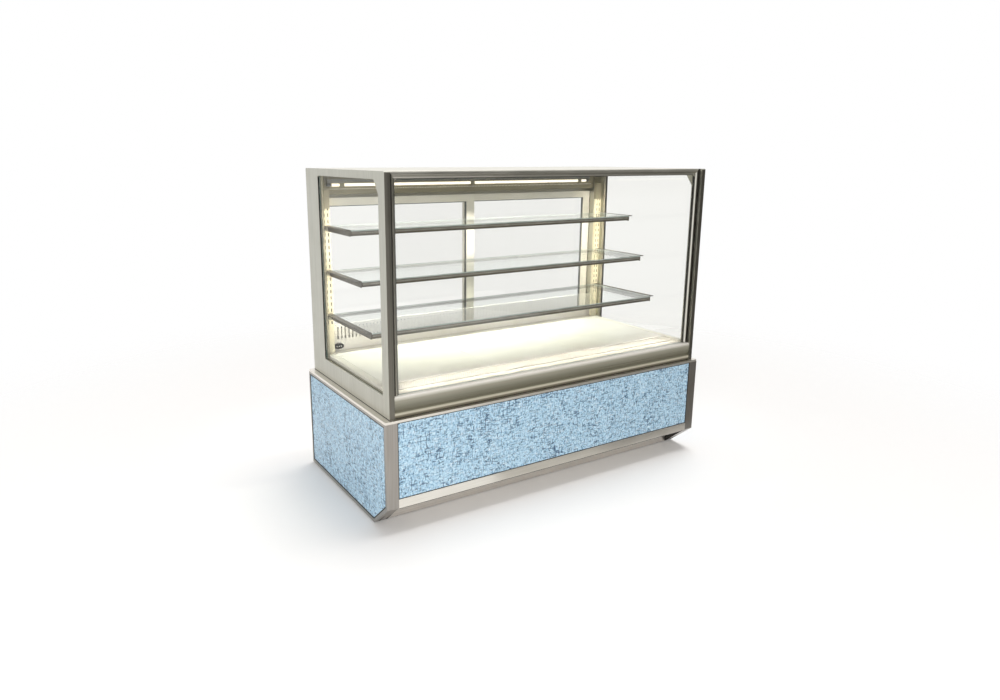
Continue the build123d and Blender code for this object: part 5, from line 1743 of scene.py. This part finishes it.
@dataclass
class Machinery:
    """The condensing unit in the base and the evaporator in the tub."""

    finishes: Finishes
    condenser_at: Point = (-20.0, 237.0, 166.0)
    evaporator_at: Point = (260.0, 101.0, 398.0)
    fan_bore: float = 4.1

    def build(self) -> None:
        """Dress the machinery and build the fans."""
        f = self.finishes
        dress("compressor", f.enamel, 0.6)
        dress("condenser_coil", f.fins, 0.0)
        dress("evaporator_coil", f.fins, 0.0)
        dress("condenser_fan_shroud", f.zinc, 0.5)
        dress("condenser_fan_motor", f.enamel, 0.5)
        dress("evaporator_fan_motors", f.enamel, 0.6)
        dress("evaporator_fan_plate", f.zinc, 0.3)
        dress("refrigerant_lines", f.copper, 0.0)
        dress("condensate_pan", f.grey_plastic, 0.6)
        dress("electrical_box", f.zinc, 0.8)
        dress("power_gland", f.black_plastic, 0.6)
        large = Fan(self.condenser_at, 69.4, 15.0, self.fan_bore)
        large.build("swept_condenser_fan", "condenser_fan", "condenser_fan", f.fan_plastic)
        x, y, z = self.evaporator_at
        for side, name in ((-1, "left"), (1, "right")):
            node = f"evaporator_fan_{name}"
            Fan((side * x, y, z), 48.8, 12.0, self.fan_bore).build(f"swept_{node}", node, node, f.fan_plastic)


@dataclass
class Studio:
    """Paper floor, plain backdrop, soft lamps and the camera."""

    camera_at: Point = (-1.7002, -2.4198, 1.2718)
    yaw: float = 0.5562
    pitch: float = -0.2264
    roll: float = -0.0034
    lens: float = 25.93
    shift: Flat = (0.0302, -0.0271)
    floor_half: float = 6.0
    ambient: float = 0.45
    sun_from: Point = (0.5, 0.12, 2.4)
    sun_angle: float = 26.0
    sun_power: float = 1.55
    sensor: float = 36.0
    floor_drop: float = 0.0005
    card_feet: Tuple[Point, ...] = ((-0.8, -3.53, 0.4), (1.4, -2.08, 0.2), (3.2, -0.9, 0.0), (3.4, 1.6, 0.0))
    card_top: float = 2.2
    card_lift: float = 0.004

    def floor(self) -> None:
        """A wide sheet of paper under the case."""
        kit = bmesh.new()
        bmesh.ops.create_grid(kit, x_segments=8, y_segments=8, size=self.floor_half)
        data = bpy.data.meshes.new("paper_floor")
        kit.to_mesh(data)
        kit.free()
        data.materials.append(StudioPaper().make())
        item = bpy.data.objects.new("paper_floor", data)
        item.location = (0.0, 0.0, -self.floor_drop)
        bpy.context.scene.collection.objects.link(item)

    def world(self) -> None:
        """A plain world, white where it is seen and softer as light."""
        world = bpy.data.worlds.new("soft_white_room")
        bpy.context.scene.world = world
        world.use_nodes = True
        tree = world.node_tree
        tree.nodes.clear()
        level = stretch(tree, seen_rays(tree), (0.0, 1.0), (self.ambient, 1.0))
        light = add_node(tree, "ShaderNodeBackground", {"Color": linear(WHITE), "Strength": level})
        add_node(tree, "ShaderNodeOutputWorld", {"Surface": light.outputs[0]})

    def lamp(
        self,
        name: str,
        at: Point,
        aim: Point,
        size: Flat,
        power: float,
        tint: str = WHITE,
        beam: float = 180.0,
    ) -> None:
        """A soft rectangular lamp.

        Args:
            name: name of the lamp.
            at: its place.
            aim: point it faces.
            size: width and height.
            power: watts.
            tint: colour of its light.
            beam: full angle of its light in degrees.
        """
        data = bpy.data.lights.new(name, "AREA")
        data.spread = math.radians(beam)
        data.shape = "RECTANGLE"
        data.size, data.size_y = size
        data.energy = power
        data.color = linear(tint)[:3]
        item = bpy.data.objects.new(name, data)
        item.location = at
        item.rotation_mode = "QUATERNION"
        item.rotation_quaternion = (Vector(aim) - Vector(at)).to_track_quat("-Z", "Y")
        item.visible_camera = False
        item.visible_glossy = False
        bpy.context.scene.collection.objects.link(item)

    def sun(self) -> None:
        """A wide soft light from above and a little to the right, which lays the shadow to the left."""
        data = bpy.data.lights.new("overhead_soft_light", "SUN")
        data.angle = math.radians(self.sun_angle)
        data.energy = self.sun_power
        item = bpy.data.objects.new("overhead_soft_light", data)
        item.rotation_mode = "QUATERNION"
        item.rotation_quaternion = Vector([-c for c in self.sun_from]).to_track_quat("-Z", "Y")
        bpy.context.scene.collection.objects.link(item)

    def flag(self, name: str, corners: Sequence[Point], grey: str, fade: float = 0.0) -> None:
        """A grey card that only metal and glass see, as a photographer's flag darkens a reflection.

        Args:
            name: name of the card.
            corners: its four corners in metres.
            grey: its colour.
            fade: share of its width over which it comes in from white, from the left.
        """
        data = bpy.data.meshes.new(name)
        data.from_pydata([Vector(c) for c in corners], [], [(0, 1, 2, 3)])
        data.materials.append(GreyCard(name, grey, fade).make())
        item = bpy.data.objects.new(name, data)
        bpy.context.scene.collection.objects.link(item)
        item.visible_camera = False
        item.visible_diffuse = False
        item.visible_transmission = False
        item.visible_shadow = False

    def camera(self) -> None:
        """The camera at the photograph's place and angle."""
        data = bpy.data.cameras.new("case_camera")
        data.lens = self.lens
        data.sensor_width = self.sensor
        data.shift_x, data.shift_y = self.shift
        item = bpy.data.objects.new("case_camera", data)
        item.location = self.camera_at
        item.rotation_mode = "XYZ"
        item.rotation_euler = (math.pi / 2 + self.pitch, self.roll, -self.yaw)
        bpy.context.scene.collection.objects.link(item)
        bpy.context.scene.camera = item

    def lamps(self) -> None:
        """A large soft lamp at the left front, and small ones that stand in for the case's own."""
        warm = "#FFFAF2"
        self.lamp("key_softbox", (-3.4, -3.9, 1.3), (0.0, 0.0, 0.6), (2.4, 1.8), 110.0)
        self.lamp("case_lamp", (0.0, 0.2, 1.15), (0.0, 0.2, 0.5), (1.3, 0.02), 6.0, warm, 90.0)
        self.lamp("sill_lamp", (0.0, -0.27, 1.18), (0.0, -0.27, 0.5), (1.3, 0.02), 0.6, warm, 12.0)
        for side, name in ((-1, "left"), (1, "right")):
            at, aim = (side * 0.6, 0.1, 0.85), (side * 0.7, 0.25, 0.85)
            self.lamp(f"{name}_corner_lamp", at, aim, (0.04, 0.5), 0.36, "#FFF6E0", 70.0)

    def cards(self) -> None:
        """Cards in a row from the front round to the right, and two on the floor before the case."""
        walls = (
            ("front_flag", "#5C5A55", 0.45),
            ("right_flag", "#8A8985", 0.0),
            ("side_flag", "#55534F", 0.0),
        )
        for (name, grey, fade), near, far in zip(walls, self.card_feet, self.card_feet[1:]):
            tops = [(x, y, self.card_top) for x, y, _ in (far, near)]
            self.flag(name, (near, far, *tops), grey, fade)
        floor_y = (-0.5, -0.5, -2.0, -2.0)
        mats = (
            ("floor_flag", (0.35, 2.6, 3.2, 1.2), "#83817D"),
            ("near_floor_flag", (-0.2, 0.35, 1.2, 0.4), "#B4B2AC"),
        )
        for name, across, grey in mats:
            self.flag(name, [(x, y, self.card_lift) for x, y in zip(across, floor_y)], grey)

    def build(self) -> None:
        """Set up the studio."""
        bpy.context.scene.view_settings.view_transform = "Standard"
        self.floor()
        self.world()
        self.sun()
        self.lamps()
        self.cards()
        self.camera()


def main() -> None:
    """Build the case from its sub-assemblies."""
    logging.basicConfig(level=logging.INFO, format="%(name)s %(message)s")
    finishes = Finishes()
    Studio().build()
    parts = (
        BaseCabinet,
        UpperCabinet,
        FrontGlass,
        AirAndDeck,
        Shelving,
        CanopyLamp,
        RearDoors,
        Controls,
        Machinery,
    )
    for part in parts:
        LOG.info("building %s", part.__name__)
        part(finishes).build()


if __name__ == "__main__":
    main()
